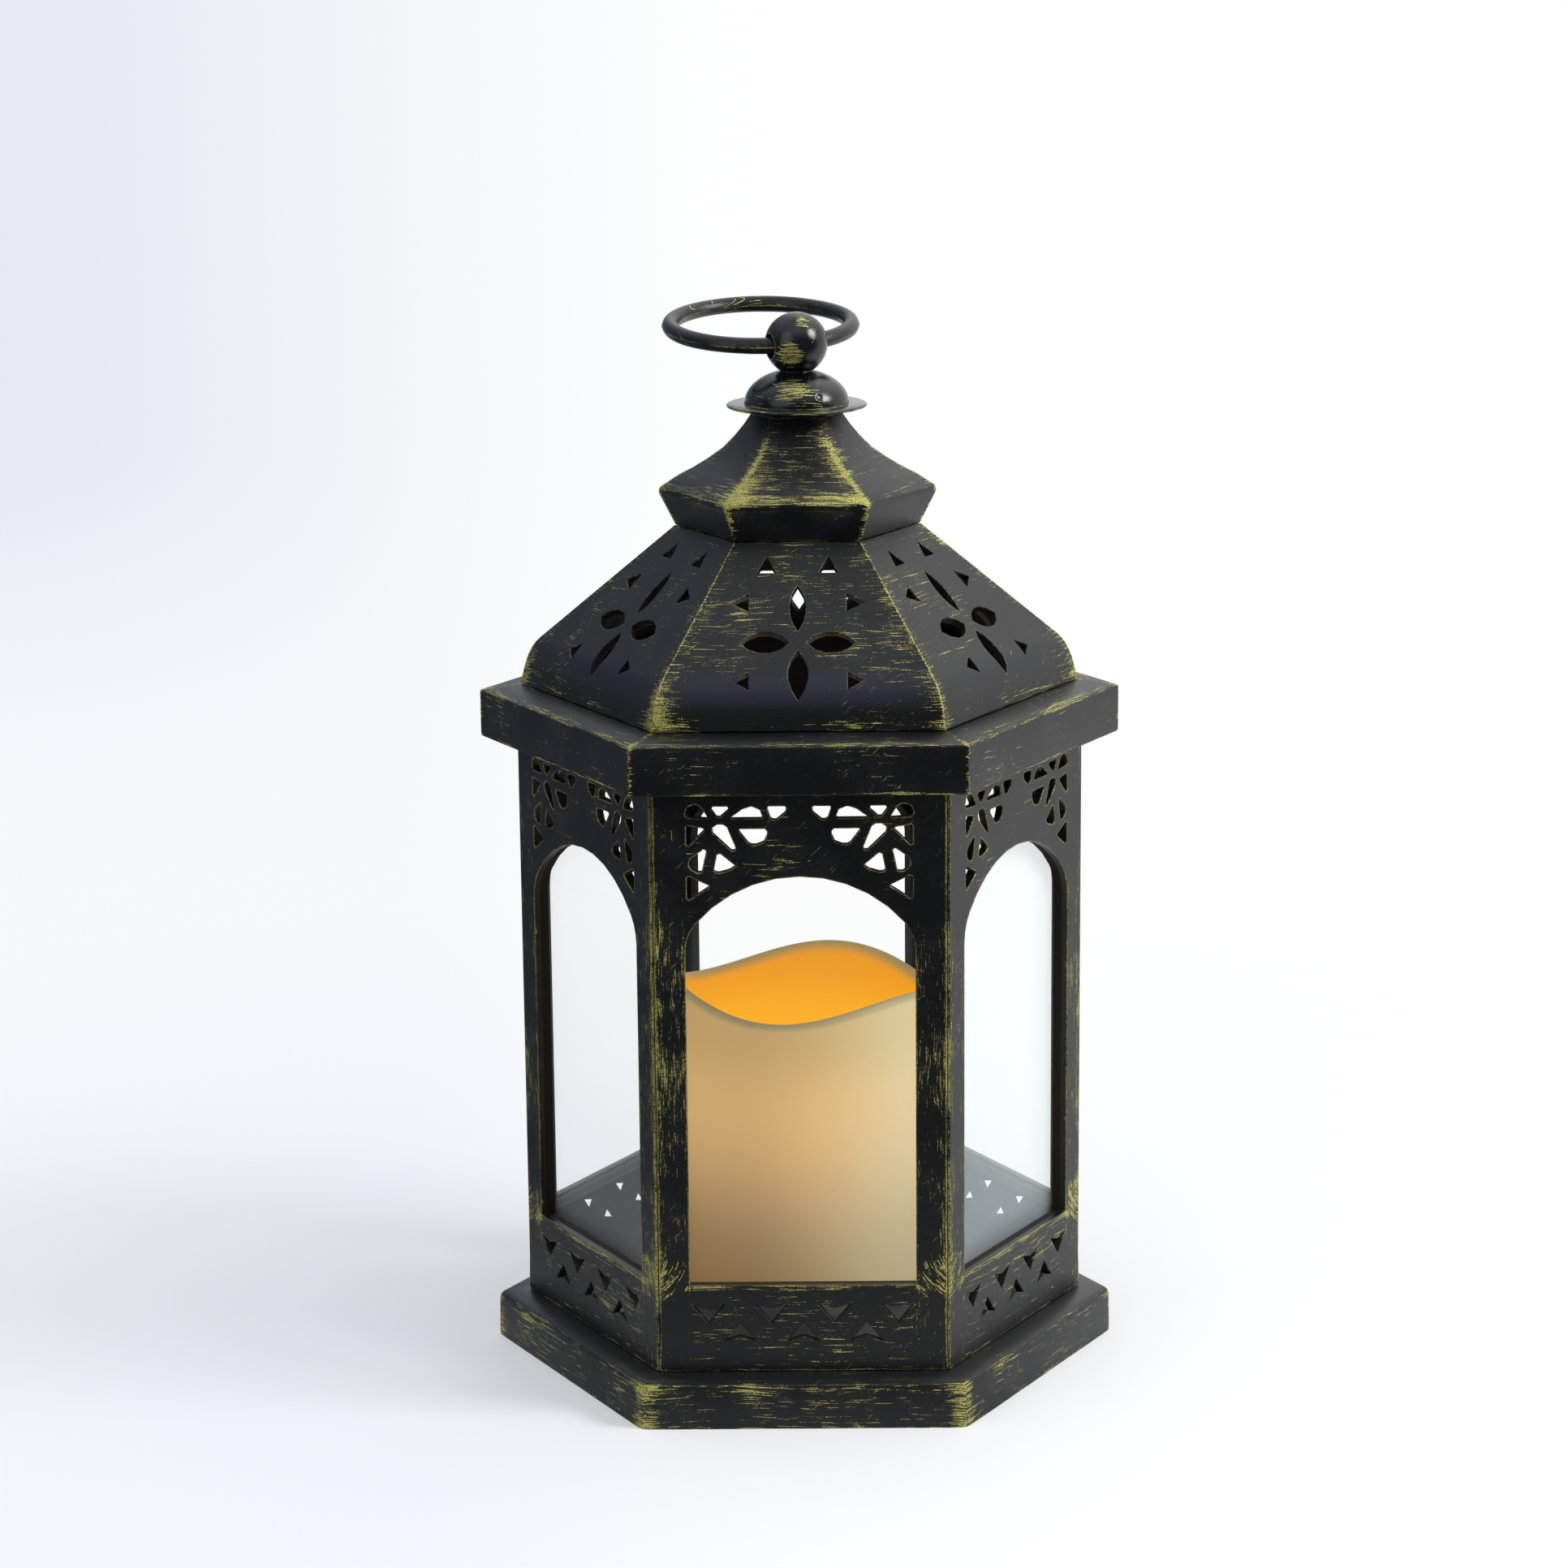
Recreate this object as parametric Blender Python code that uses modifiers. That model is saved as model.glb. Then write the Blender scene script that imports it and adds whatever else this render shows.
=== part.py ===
"""Hexagonal lantern: arched windows, lattice-cut walls, pierced roof, ring handle and a battery candle.

Millimetres in the constants, metres in the scene. +Z is up, the front wall faces -Y and two corners
lie on the X axis. Hexagonal pieces state the radius of their corners; a wall's distance from the
axis is that radius times cos 30.
"""
import math

import bmesh
import bpy
from mathutils import Matrix, Vector

MM = 0.001
SIDES = 6
COS30 = math.cos(math.radians(30))
TAN30 = math.tan(math.radians(30))

# Clearances
SEAT = 0.3                      # gap between two pieces that rest on each other
CORNER_SEAT = SEAT / COS30      # the same gap, measured along a corner's radius
DRAFT = 0.3                     # how much a moulded side leans in

# Walls
WALL_R = 78.8
WALL_T = 2.2
WALL_TOP_Z = 181.7
WALL_CORNER_CHAMFER = 0.6
WALL_INSIDE_R = (WALL_R * COS30 - WALL_T - SEAT) / COS30    # corners of what fits inside the walls
POST_W = 8.8                    # from a corner to the window
WINDOW_HALF = WALL_R / 2 - POST_W
SILL_Z = 38.0
ARCH_DROP = 29.9                # from the top of the walls to the top of the arch
ARCH_TOP_Z = WALL_TOP_Z - ARCH_DROP
ARCH_CROWN_R = WINDOW_HALF + 5.9
ARCH_HAUNCH_R = 12.0
FRAME_IN = 0.5                  # the inner frame's edge, outside the window's edge
FRAME_OUT = 2.3
FRAME_BACK = WALL_T + 2.4       # from the wall's face to the back of the inner frame
PANE_LAP = 1.9
PANE_T = 1.0

# The cut pattern's widths follow the window
PATTERN_SCALE = WINDOW_HALF / 30.6

# Arrowheads in the bottom rail; heights of the base corners, the notch and the tip
ARROW_PITCH = 17.1 * PATTERN_SCALE
ARROW_HALF = 4.55 * PATTERN_SCALE
ARROW_DOWN = (SILL_Z - 5.3, SILL_Z - 6.5, SILL_Z - 10.9)
ARROW_UP = (SILL_Z - 16.0, SILL_Z - 14.6, SILL_Z - 10.5)

# Lattice holes of the right corner: distance from the window's middle, depth below
# the lattice's top and corner radius of each corner
LATTICE_TOP_Z = WALL_TOP_Z - 10.2
LATTICE = (
    ((23.9, 3.8, 0.25), (26.3, 0, 1.6), (30.2, 0, 2.2), (30.1, 3.5, 0.7)),
    ((17.6, 0.55, 0.5), (21.4, 3.9, 0.6), (23.7, 0.55, 0.5)),
    ((9.7, 3.85, 0.4), (9.6, 0.65, 2.7), (14.1, 0.65, 3.6), (18.5, 3.85, 0.25)),
    ((3.35, 0.55, 0.4), (4, 4.2, 2.4), (7.4, 4.25, 0.7), (8.6, 0.55, 0.4)),
    ((24.6, 6.5, 0.4), (29.95, 11.9, 0.4), (29.95, 5.65, 0.3)),
    ((19.4, 5.4, 1.1), (15.66, 14.76, 0.7), (25.35, 5.4, 1.5)),
    ((8.5, 6.65, 0.6), (8.7, 11, 2.7), (13.1, 11, 1), (16.4, 6.65, 0.35)),
    ((24.35, 11.4, 0.45), (25.9, 18.4, 0.3), (28.3, 18.4, 1.8), (29.9, 15.4, 1.4)),
    ((21.6, 12.8, 0.5), (16.9, 16.7, 0.3), (19.6, 18.7, 4), (22.75, 18.4, 0.5)),
    ((23.6, 22.2, 0.3), (29.95, 26.4, 0.5), (29.95, 19.1, 0.5)),
)

# Plinth
PLINTH_R = WALL_R + 9.2
PLINTH_TOP_R = PLINTH_R - DRAFT
PLINTH_EDGE_Z = 12.6
PLINTH_DECK_Z = PLINTH_EDGE_Z + 0.8
PLINTH_WALL = 2.6
PLINTH_EDGE_ROUND = 1.8
FLOOR_Z = PLINTH_DECK_Z + 4.6
FLOOR_T = 2.4
COLLAR_T = 2.2
COLLAR_H = FLOOR_Z - 12.5
RIB_T = 1.6
POST_R = 4.0
POST_CENTRE_R = PLINTH_R - 28.0
BASE_SCREWS = 3
BASE_PILOT_TOP_Z = FLOOR_Z - FLOOR_T - 1.5

# Base cover
COVER_Z = 0.6
COVER_T = 2.4
COVER_TOP_Z = COVER_Z + COVER_T

# Cornice
CORNICE_R = WALL_R + 9.8
CORNICE_Z = WALL_TOP_Z - 6.1
FASCIA_TOP_Z = CORNICE_Z + 13.3
LEDGE_R = WALL_R - 1.5
LEDGE_Z = FASCIA_TOP_Z + 1.6
CORNICE_T = 2.4
GROOVE_Z = CORNICE_Z + 1.4
LIP_T = 2.3
CORNICE_INSIDE_R = WALL_INSIDE_R - LIP_T
CORNICE_EDGE_ROUND = 0.7

# Roof: corner radius and height along a hip
ROOF_FOOT = (LEDGE_R - 0.1, LEDGE_Z + SEAT)
ROOF_WAIST = (ROOF_FOOT[0] - 0.9, ROOF_FOOT[1] + 3.8)
ROOF_SHOULDER = (ROOF_FOOT[0] - 5.6, ROOF_FOOT[1] + 12.7)
ROOF_H = 43.8
ROOF_TOP = (33.9, ROOF_FOOT[1] + ROOF_H)
ROOF_T = 2.0
ROOF_CAP_T = 3.0
UNDER_CAP_Z = ROOF_TOP[1] - ROOF_CAP_T
TONGUE_T = 2.2
TONGUE_DEPTH = 3.8

# Pattern cut in each roof face; heights are measured up the slope from the flower's centre
FLOWER_Z = ROOF_TOP[1] - 22.7
TOP_PETAL = (3.6, 18.8, 2.2)        # start, end, half width
BOTTOM_PETAL = (-17.7, -2.6, 2.75)
SIDE_PETAL = (2.3, 15.4, 3.5)
UPPER_TRIANGLE = (8.25, 22.7, 28.2, 2.6)    # centre, base, apex, half width
MIDDLE_TRIANGLE = (13.0, 13.0, 18.0, 2.95)  # height, base, apex, half width
LOWER_TRIANGLE = (-12.2, 13.1, 17.6, 2.7)

# Crown: corner radius and height above its foot along a hip
CROWN_FOOT_Z = ROOF_TOP[1] + SEAT
CROWN_FOOT_R = ROOF_TOP[0] - 0.2
CROWN_LIP = ((38.1, 8.8), (38.1, 10.4))
CROWN_BELL = (
    (33.0, 13.7), (28.9, 15.8), (25.1, 18.1), (20.8, 21.1), (17.4, 24.5), (15.0, 27.4), (13.0, 30.3)
)
CROWN_TOP_Z = CROWN_FOOT_Z + CROWN_BELL[-1][1]
CROWN_T = 2.4
CROWN_HIP_ROUND = 0.8

# Finial
FLANGE_R = 19.3
FLANGE_Z = CROWN_TOP_Z + 2.5
FLANGE_T = 0.9
DOME_R = 14.4
DOME_TOP_Z = FLANGE_Z + 9.9
BALL_R = 8.6
BALL_Z = DOME_TOP_Z + 6.9
FINIAL_PILOT_TOP_Z = DOME_TOP_Z - 2.6

# Ring handle
RING_R = 25.1
RING_TUBE_R = 2.3
RING_HEADING = 23.8             # degrees, heading of the ball's cross hole
RING_LIFT = 6.0                 # degrees, the ring's far side above level at rest
RING_TILT = 2.5                 # degrees, the hole's right end above level
BALL_HOLE_R = RING_TUBE_R + 1.1

# Screws
SCREW_R = 1.4
SCREW_HOLE_R = SCREW_R + SEAT
HEAD_R = 3.0
HEAD_T = 1.15
HEAD_SINK = 0.15
FINIAL_HEAD_R = 4.0
FINIAL_HEAD_T = 2.0
WASHER_R = 6.5
WASHER_T = 1.0

# Candle
CANDLE_R = 37.5
CANDLE_Z = COVER_TOP_Z + SEAT
CANDLE_WALL = 3.4
CANDLE_BORE_R = CANDLE_R - 4.0
CANDLE_H = 100.9
RIM_Z = CANDLE_Z + CANDLE_H
RIM_WAVE = 2.5
RIM_WAVE_TURN = 75.1            # degrees
RIM_SWAY = 0.55
RIM_SWAY_TURN = 27.9            # degrees
WELL_Z = RIM_Z - 24.2
WELL_T = 3.0
WAVE_FOOT_Z = WELL_Z + 6.0
FLOOR_HOLE_R = CANDLE_R + 0.4
COVER_WINDOW_R = CANDLE_R - 6.0

# Cells: three side by side in one tube
CELL_R = 5.25
CELL_LENGTH = 44.5
CELL_NUB = 1.0
CELL_GAP = 0.35
CELL_SPREAD = (2 * CELL_R + CELL_GAP) / math.sqrt(3)    # from the tube's axis to each cell's
TUBE_BORE_R = CELL_SPREAD + CELL_R + SEAT
TUBE_T = 1.7

# Battery door
DOOR_R = TUBE_BORE_R + 2.2
DOOR_Z = CANDLE_Z + 0.1
DOOR_T = 1.7
DOOR_TOP_Z = DOOR_Z + 3.6
DOOR_RING_T = 4.0
LUG_R = DOOR_R + 1.9
LUG_Z = DOOR_TOP_Z - 1.2
LUGS = 3
LUG_HALF_ANGLE = 12.0           # degrees
UNLOCK_TURN = 40.0              # degrees from locked to the entry notches
COIN_SLOT = (12.0, 1.8, 0.8)

# Contacts
BOARD_R = TUBE_BORE_R - 0.4
BOARD_T = 1.2
SPRING_H = 3.8
SPRING_R = 3.0
SPRING_WIRE_R = 0.35
LOWER_BOARD_Z = DOOR_TOP_Z + SEAT
CELL_FOOT_Z = LOWER_BOARD_Z + BOARD_T + SEAT + SPRING_H + SEAT
UPPER_BOARD_Z = CELL_FOOT_Z + CELL_LENGTH + SEAT

# Candle base
BASE_R = CANDLE_BORE_R - SEAT
BASE_FLOOR_T = 2.0
BASE_FLOOR_TOP_Z = CANDLE_Z + BASE_FLOOR_T
BASE_RIM_Z = BASE_FLOOR_TOP_Z + 6.7
BASE_RIM_T = 1.8
BASE_INSIDE_R = BASE_R - BASE_RIM_T
DOOR_HOUSING_R = LUG_R + SEAT + 2.2
TUBE_ROOF_T = 1.6
TUBE_TOP_Z = UPPER_BOARD_Z + BOARD_T + SEAT + TUBE_ROOF_T
LAMP_POST_R = 5.4
LAMP_POST_Z = WELL_Z - WELL_T - 0.6
LAMP_BORE_R = 2.2
LAMP_SEAT_Z = LAMP_POST_Z - 2.5

# Circuit board, switch and lamp
CIRCUIT_HALF_X = 9.0
CIRCUIT_NEAR_Y = DOOR_HOUSING_R + 1.0
CIRCUIT_FAR_Y = math.sqrt(BASE_INSIDE_R ** 2 - CIRCUIT_HALF_X ** 2) - 1.0
CIRCUIT_Z = BASE_FLOOR_TOP_Z + 3.0
CIRCUIT_T = 1.2
PEG_R = 1.6
PEG_X = 6.0
SWITCH_BODY = (13.0, 7.0, 6.0)
SWITCH_POCKET_Y = math.sqrt(BASE_INSIDE_R ** 2 - (SWITCH_BODY[0] / 2) ** 2)
SWITCH_Y = -(DOOR_HOUSING_R + SWITCH_POCKET_Y) / 2
SWITCH_TRAVEL = 4.0
KNOB_STEM = (3.0, 2.4)
KNOB_HEAD = (5.2, 4.0, 2.2)
LAMP_R = 2.5
LAMP_FLANGE_R = 2.9
LAMP_TIP_Z = WELL_Z + 5.0
LEAD_R = 0.35
LEAD_X = 0.9
LEAD_EXIT_Z = TUBE_TOP_Z + 5.0

WALLS = (
    ("front", 0),
    ("front_right", 60),
    ("back_right", 120),
    ("back", 180),
    ("back_left", 240),
    ("front_left", 300),
)


def make_collection(name):
    group = bpy.data.collections.new(name)
    bpy.context.scene.collection.children.link(group)
    return group


def make_material(name, colour, roughness, metallic=0.0, alpha=1.0, glow=None):
    material = bpy.data.materials.new(name)
    material.use_nodes = True
    shader = material.node_tree.nodes["Principled BSDF"]
    shader.inputs["Base Color"].default_value = (*colour, 1.0)
    shader.inputs["Roughness"].default_value = roughness
    shader.inputs["Metallic"].default_value = metallic
    shader.inputs["Alpha"].default_value = alpha
    if glow:
        shader.inputs["Emission Color"].default_value = (*glow, 1.0)
        shader.inputs["Emission Strength"].default_value = 1.0
    return material


def finished_mesh(mesh):
    """Metres, welded, with every face pointing outwards."""
    work = bmesh.new()
    work.from_mesh(mesh)
    bmesh.ops.remove_doubles(work, verts=work.verts, dist=1e-6)
    bmesh.ops.recalc_face_normals(work, faces=work.faces)
    work.to_mesh(mesh)
    work.free()
    return mesh


def baked(source):
    """Mesh of an object with its modifiers applied; the object is removed."""
    bpy.context.view_layer.update()
    graph = bpy.context.evaluated_depsgraph_get()
    mesh = bpy.data.meshes.new_from_object(source.evaluated_get(graph))
    mesh.transform(source.matrix_world)
    bpy.data.objects.remove(source)
    return finished_mesh(mesh)


def scratch_object(mesh):
    item = bpy.data.objects.new("scratch", mesh)
    bpy.context.scene.collection.objects.link(item)
    return item


def turned(profile, steps):
    """Closed solid swept by a profile of (radius, z) round the Z axis, in millimetres.

    A profile that starts and ends on the axis stays open; any other is closed into a loop.
    """
    mesh = bpy.data.meshes.new("profile")
    points = [(radius * MM, 0.0, height * MM) for radius, height in profile]
    edges = [(index, index + 1) for index in range(len(points) - 1)]
    if profile[0][0] > 0 or profile[-1][0] > 0:
        edges.append((len(points) - 1, 0))
    mesh.from_pydata(points, edges, [])
    item = scratch_object(mesh)
    sweep = item.modifiers.new("sweep", "SCREW")
    sweep.steps = steps
    sweep.render_steps = steps
    sweep.use_merge_vertices = True
    sweep.merge_threshold = 1e-5
    return baked(item)


def box_mesh(low, high):
    """Box between two corners, in millimetres."""
    work = bmesh.new()
    centre = [(a + b) / 2 * MM for a, b in zip(low, high)]
    size = [(b - a) * MM for a, b in zip(low, high)]
    place = Matrix.Translation(centre) @ Matrix.Diagonal((*size, 1.0))
    bmesh.ops.create_cube(work, size=1.0, matrix=place)
    mesh = bpy.data.meshes.new("box")
    work.to_mesh(mesh)
    work.free()
    return mesh


def rod_mesh(radius, low, high, steps, centre=(0.0, 0.0)):
    """Upright cylinder, in millimetres."""
    work = bmesh.new()
    place = Matrix.Translation((centre[0] * MM, centre[1] * MM, (low + high) / 2 * MM))
    bmesh.ops.create_cone(work, cap_ends=True, segments=steps, radius1=radius * MM, radius2=radius * MM,
                          depth=(high - low) * MM, matrix=place)
    mesh = bpy.data.meshes.new("rod")
    work.to_mesh(mesh)
    work.free()
    return mesh


def joined(meshes):
    """One mesh of several solids that don't touch each other."""
    work = bmesh.new()
    for mesh in meshes:
        work.from_mesh(mesh)
    result = bpy.data.meshes.new("group")
    work.to_mesh(result)
    work.free()
    return result


def combined(base, tools, operation, solver="EXACT"):
    """Base mesh with each tool mesh added or cut away in turn."""
    for tool in tools:
        item = scratch_object(base)
        other = scratch_object(tool)
        step = item.modifiers.new(operation.lower(), "BOOLEAN")
        step.operation = operation
        step.solver = solver
        step.object = other
        base = baked(item)
        bpy.data.objects.remove(other)
    return base


def flat_solid(outlines, thickness):
    """Flat plate with holes from closed outlines in millimetres, half its thickness each side of z = 0."""
    curve = bpy.data.curves.new("outline", "CURVE")
    curve.dimensions = "2D"
    curve.fill_mode = "BOTH"
    curve.extrude = thickness / 2 * MM
    for outline in outlines:
        spline = curve.splines.new("POLY")
        spline.points.add(len(outline) - 1)
        for point, (x, y) in zip(spline.points, outline):
            point.co = (x * MM, y * MM, 0.0, 1.0)
        spline.use_cyclic_u = True
    item = bpy.data.objects.new("scratch", curve)
    bpy.context.scene.collection.objects.link(item)
    return baked(item)


def wire_mesh(points, radius, resolution=1):
    """Round wire along a path in millimetres, with closed ends."""
    curve = bpy.data.curves.new("wire", "CURVE")
    curve.dimensions = "3D"
    curve.bevel_depth = radius * MM
    curve.bevel_resolution = resolution
    curve.use_fill_caps = True
    spline = curve.splines.new("POLY")
    spline.points.add(len(points) - 1)
    for point, place in zip(spline.points, points):
        point.co = (*[value * MM for value in place], 1.0)
    item = bpy.data.objects.new("scratch", curve)
    bpy.context.scene.collection.objects.link(item)
    return baked(item)


def rounded_edges(mesh, width, segments, wanted):
    """Rounds the edges for which wanted(midpoint in mm, direction) is true."""
    work = bmesh.new()
    work.from_mesh(mesh)
    chosen = []
    for edge in work.edges:
        start, end = (vert.co for vert in edge.verts)
        if wanted((start + end) / 2 / MM, (end - start).normalized()):
            chosen.append(edge)
    bmesh.ops.bevel(work, geom=chosen, offset=width * MM, segments=segments, affect="EDGES", profile=0.5)
    work.to_mesh(mesh)
    work.free()
    return mesh


def make_part(name, mesh, material, smooth=None, origin=(0.0, 0.0, 0.0)):
    """Named piece of the lantern; smooth is the angle in degrees that still shades round."""
    place = Vector(origin) * MM
    mesh.transform(Matrix.Translation(-place))
    mesh.name = name
    mesh.materials.clear()
    mesh.materials.append(material)
    if smooth is not None:
        mesh.shade_smooth()
        mesh.set_sharp_from_angle(angle=math.radians(smooth))
    part = bpy.data.objects.new(name, mesh)
    part.location = place
    parts.objects.link(part)
    return part


def turned_copy(name, source, degrees):
    part = bpy.data.objects.new(name, source.data)
    part.rotation_euler.z = math.radians(degrees)
    parts.objects.link(part)
    return part


def keep_cutter(name, mesh):
    cutter = bpy.data.objects.new(name, mesh)
    cutter.display_type = "WIRE"
    cutter.hide_render = True
    cutters.objects.link(cutter)
    return cutter


def cut_with(part, cutter):
    step = part.modifiers.new("cut", "BOOLEAN")
    step.operation = "DIFFERENCE"
    step.solver = "EXACT"
    step.object = cutter


def rounded(corners, pieces_least=1):
    """Closed outline through (x, y, radius) corners, each rounded by an arc of its radius; 0 stays sharp."""
    outline = []
    for index, (x, y, radius) in enumerate(corners):
        if radius == 0:
            outline.append((x, y))
            continue
        corner = Vector((x, y))
        before = (Vector(corners[index - 1][:2]) - corner).normalized()
        after = (Vector(corners[(index + 1) % len(corners)][:2]) - corner).normalized()
        half = before.angle(after) / 2
        reach = radius / math.tan(half)
        centre = corner + (before + after).normalized() * (radius / math.sin(half))
        start = corner + before * reach - centre
        turn = math.pi - 2 * half
        if start.cross(corner + after * reach - centre) < 0:
            turn = -turn
        pieces = max(pieces_least, round(abs(math.degrees(turn)) * math.sqrt(radius) / 85))
        for step in range(pieces + 1):
            angle = turn * step / pieces
            spoke = Matrix.Rotation(angle, 2) @ start
            outline.append(tuple(centre + spoke))
    return outline


def mirrored(outline):
    return [(-x, y) for x, y in outline]


def arc(centre, radius, start, end, pieces):
    points = []
    for step in range(pieces + 1):
        angle = start + (end - start) * step / pieces
        points.append((centre[0] + radius * math.cos(angle), centre[1] + radius * math.sin(angle)))
    return points


def arch(grow=0.0):
    """Window outline: straight jambs and a three-centred arch, grown outwards by grow."""
    crown_z = ARCH_TOP_Z - ARCH_CROWN_R
    haunch_x = WINDOW_HALF - ARCH_HAUNCH_R
    between = ARCH_CROWN_R - ARCH_HAUNCH_R
    spring_z = crown_z + math.sqrt(between ** 2 - haunch_x ** 2)
    join = math.atan2(spring_z - crown_z, haunch_x)
    haunch = arc((haunch_x, spring_z), ARCH_HAUNCH_R + grow, 0.0, join, 3)
    crown = arc((0.0, crown_z), ARCH_CROWN_R + grow, join, math.pi / 2, 5)
    right = haunch + crown[1:]
    left = mirrored(reversed(right[:-1]))
    foot = SILL_Z - grow
    return [(-WINDOW_HALF - grow, foot), (WINDOW_HALF + grow, foot)] + right + list(left)


def arrowhead(centre, heights):
    base, notch, tip = heights
    return [(centre - ARROW_HALF, base), (centre, notch), (centre + ARROW_HALF, base), (centre, tip)]


def upright(mesh, depth):
    """Stands a flat plate up as a front piece whose middle is depth behind the walls' face plane."""
    place = Matrix(((1, 0, 0, 0), (0, 0, -1, (depth - WALL_R * COS30) * MM), (0, 1, 0, 0), (0, 0, 0, 1)))
    mesh.transform(place)
    return mesh


def wall_panel_mesh():
    half = WALL_R / 2 - CORNER_SEAT / 2
    foot = PLINTH_DECK_Z + SEAT
    outlines = [[(-half, foot), (half, foot), (half, WALL_TOP_Z), (-half, WALL_TOP_Z)], arch()]
    for corners in LATTICE:
        hole = rounded([(x * PATTERN_SCALE, LATTICE_TOP_Z - drop * PATTERN_SCALE, radius * PATTERN_SCALE)
                        for x, drop, radius in corners])
        outlines += [hole, mirrored(hole)]
    for step in (-1.5, -0.5, 0.5, 1.5):
        outlines.append(arrowhead(step * ARROW_PITCH, ARROW_DOWN))
    for step in (-1, 0, 1):
        outlines.append(arrowhead(step * ARROW_PITCH, ARROW_UP))
    plate = upright(flat_solid(outlines, WALL_T), WALL_T / 2)
    back_y = (WALL_T - WALL_R * COS30) * MM
    for vert in plate.vertices:
        if abs(vert.co.x) > (half - 0.01) * MM and vert.co.y > back_y - 1e-6:
            vert.co.x -= math.copysign(WALL_T * TAN30 * MM, vert.co.x)

    def corner_edge(middle, direction):
        return abs(direction.z) > 0.9 and abs(middle.x) > half - 0.1

    embed = WALL_T / 2
    frame = flat_solid([arch(FRAME_OUT), arch(FRAME_IN)], FRAME_BACK - embed)
    frame = upright(frame, (FRAME_BACK + embed) / 2)
    panel = combined(plate, [frame], "UNION", solver="MANIFOLD")    # EXACT drops faces at some wall sizes
    return rounded_edges(panel, WALL_CORNER_CHAMFER, 1, corner_edge)


def apothem_points(profile):
    return [(radius * COS30, height) for radius, height in profile]


def corner_points(profile):
    return [(apothem / COS30, height) for apothem, height in profile]


def inset(points, distance):
    """Open polyline moved to its right-hand side by distance, corners mitred."""
    moved = []
    for index, point in enumerate(points):
        here = Vector(point)
        normals = []
        if index > 0:
            run = (here - Vector(points[index - 1])).normalized()
            normals.append(Vector((run.y, -run.x)))
        if index < len(points) - 1:
            run = (Vector(points[index + 1]) - here).normalized()
            normals.append(Vector((run.y, -run.x)))
        lean = sum(normals, Vector((0.0, 0.0)))
        lean.normalize()
        moved.append(tuple(here + lean * (distance / lean.dot(normals[0]))))
    return moved


def screw_mesh(head_z, tip_z, head_r, head_t, centre=(0.0, 0.0)):
    """Pan-head screw standing on its head, with a cross cut in the head."""
    under_head = head_z + head_t
    profile = [(0, tip_z), (SCREW_R * 0.4, tip_z), (SCREW_R, tip_z - 1.5), (SCREW_R, under_head),
               (head_r, under_head), (head_r, head_z + head_t * 0.45), (head_r * 0.7, head_z), (0, head_z)]
    body = turned(profile, 14)
    slot = head_r * 0.55
    arm_x = box_mesh((-slot, -0.35, head_z - 1), (slot, 0.35, head_z + head_t * 0.6))
    arm_y = box_mesh((-0.35, -slot, head_z - 1), (0.35, slot, head_z + head_t * 0.6))
    body = combined(body, [arm_x, arm_y], "DIFFERENCE")
    body.transform(Matrix.Translation((centre[0] * MM, centre[1] * MM, 0)))
    return body


def around(radius, count, start=0.0):
    """Points spaced evenly on a circle, with their angles in degrees."""
    places = []
    for index in range(count):
        angle = start + 360.0 * index / count
        heading = math.radians(angle)
        places.append((radius * math.cos(heading), radius * math.sin(heading), angle))
    return places


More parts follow.
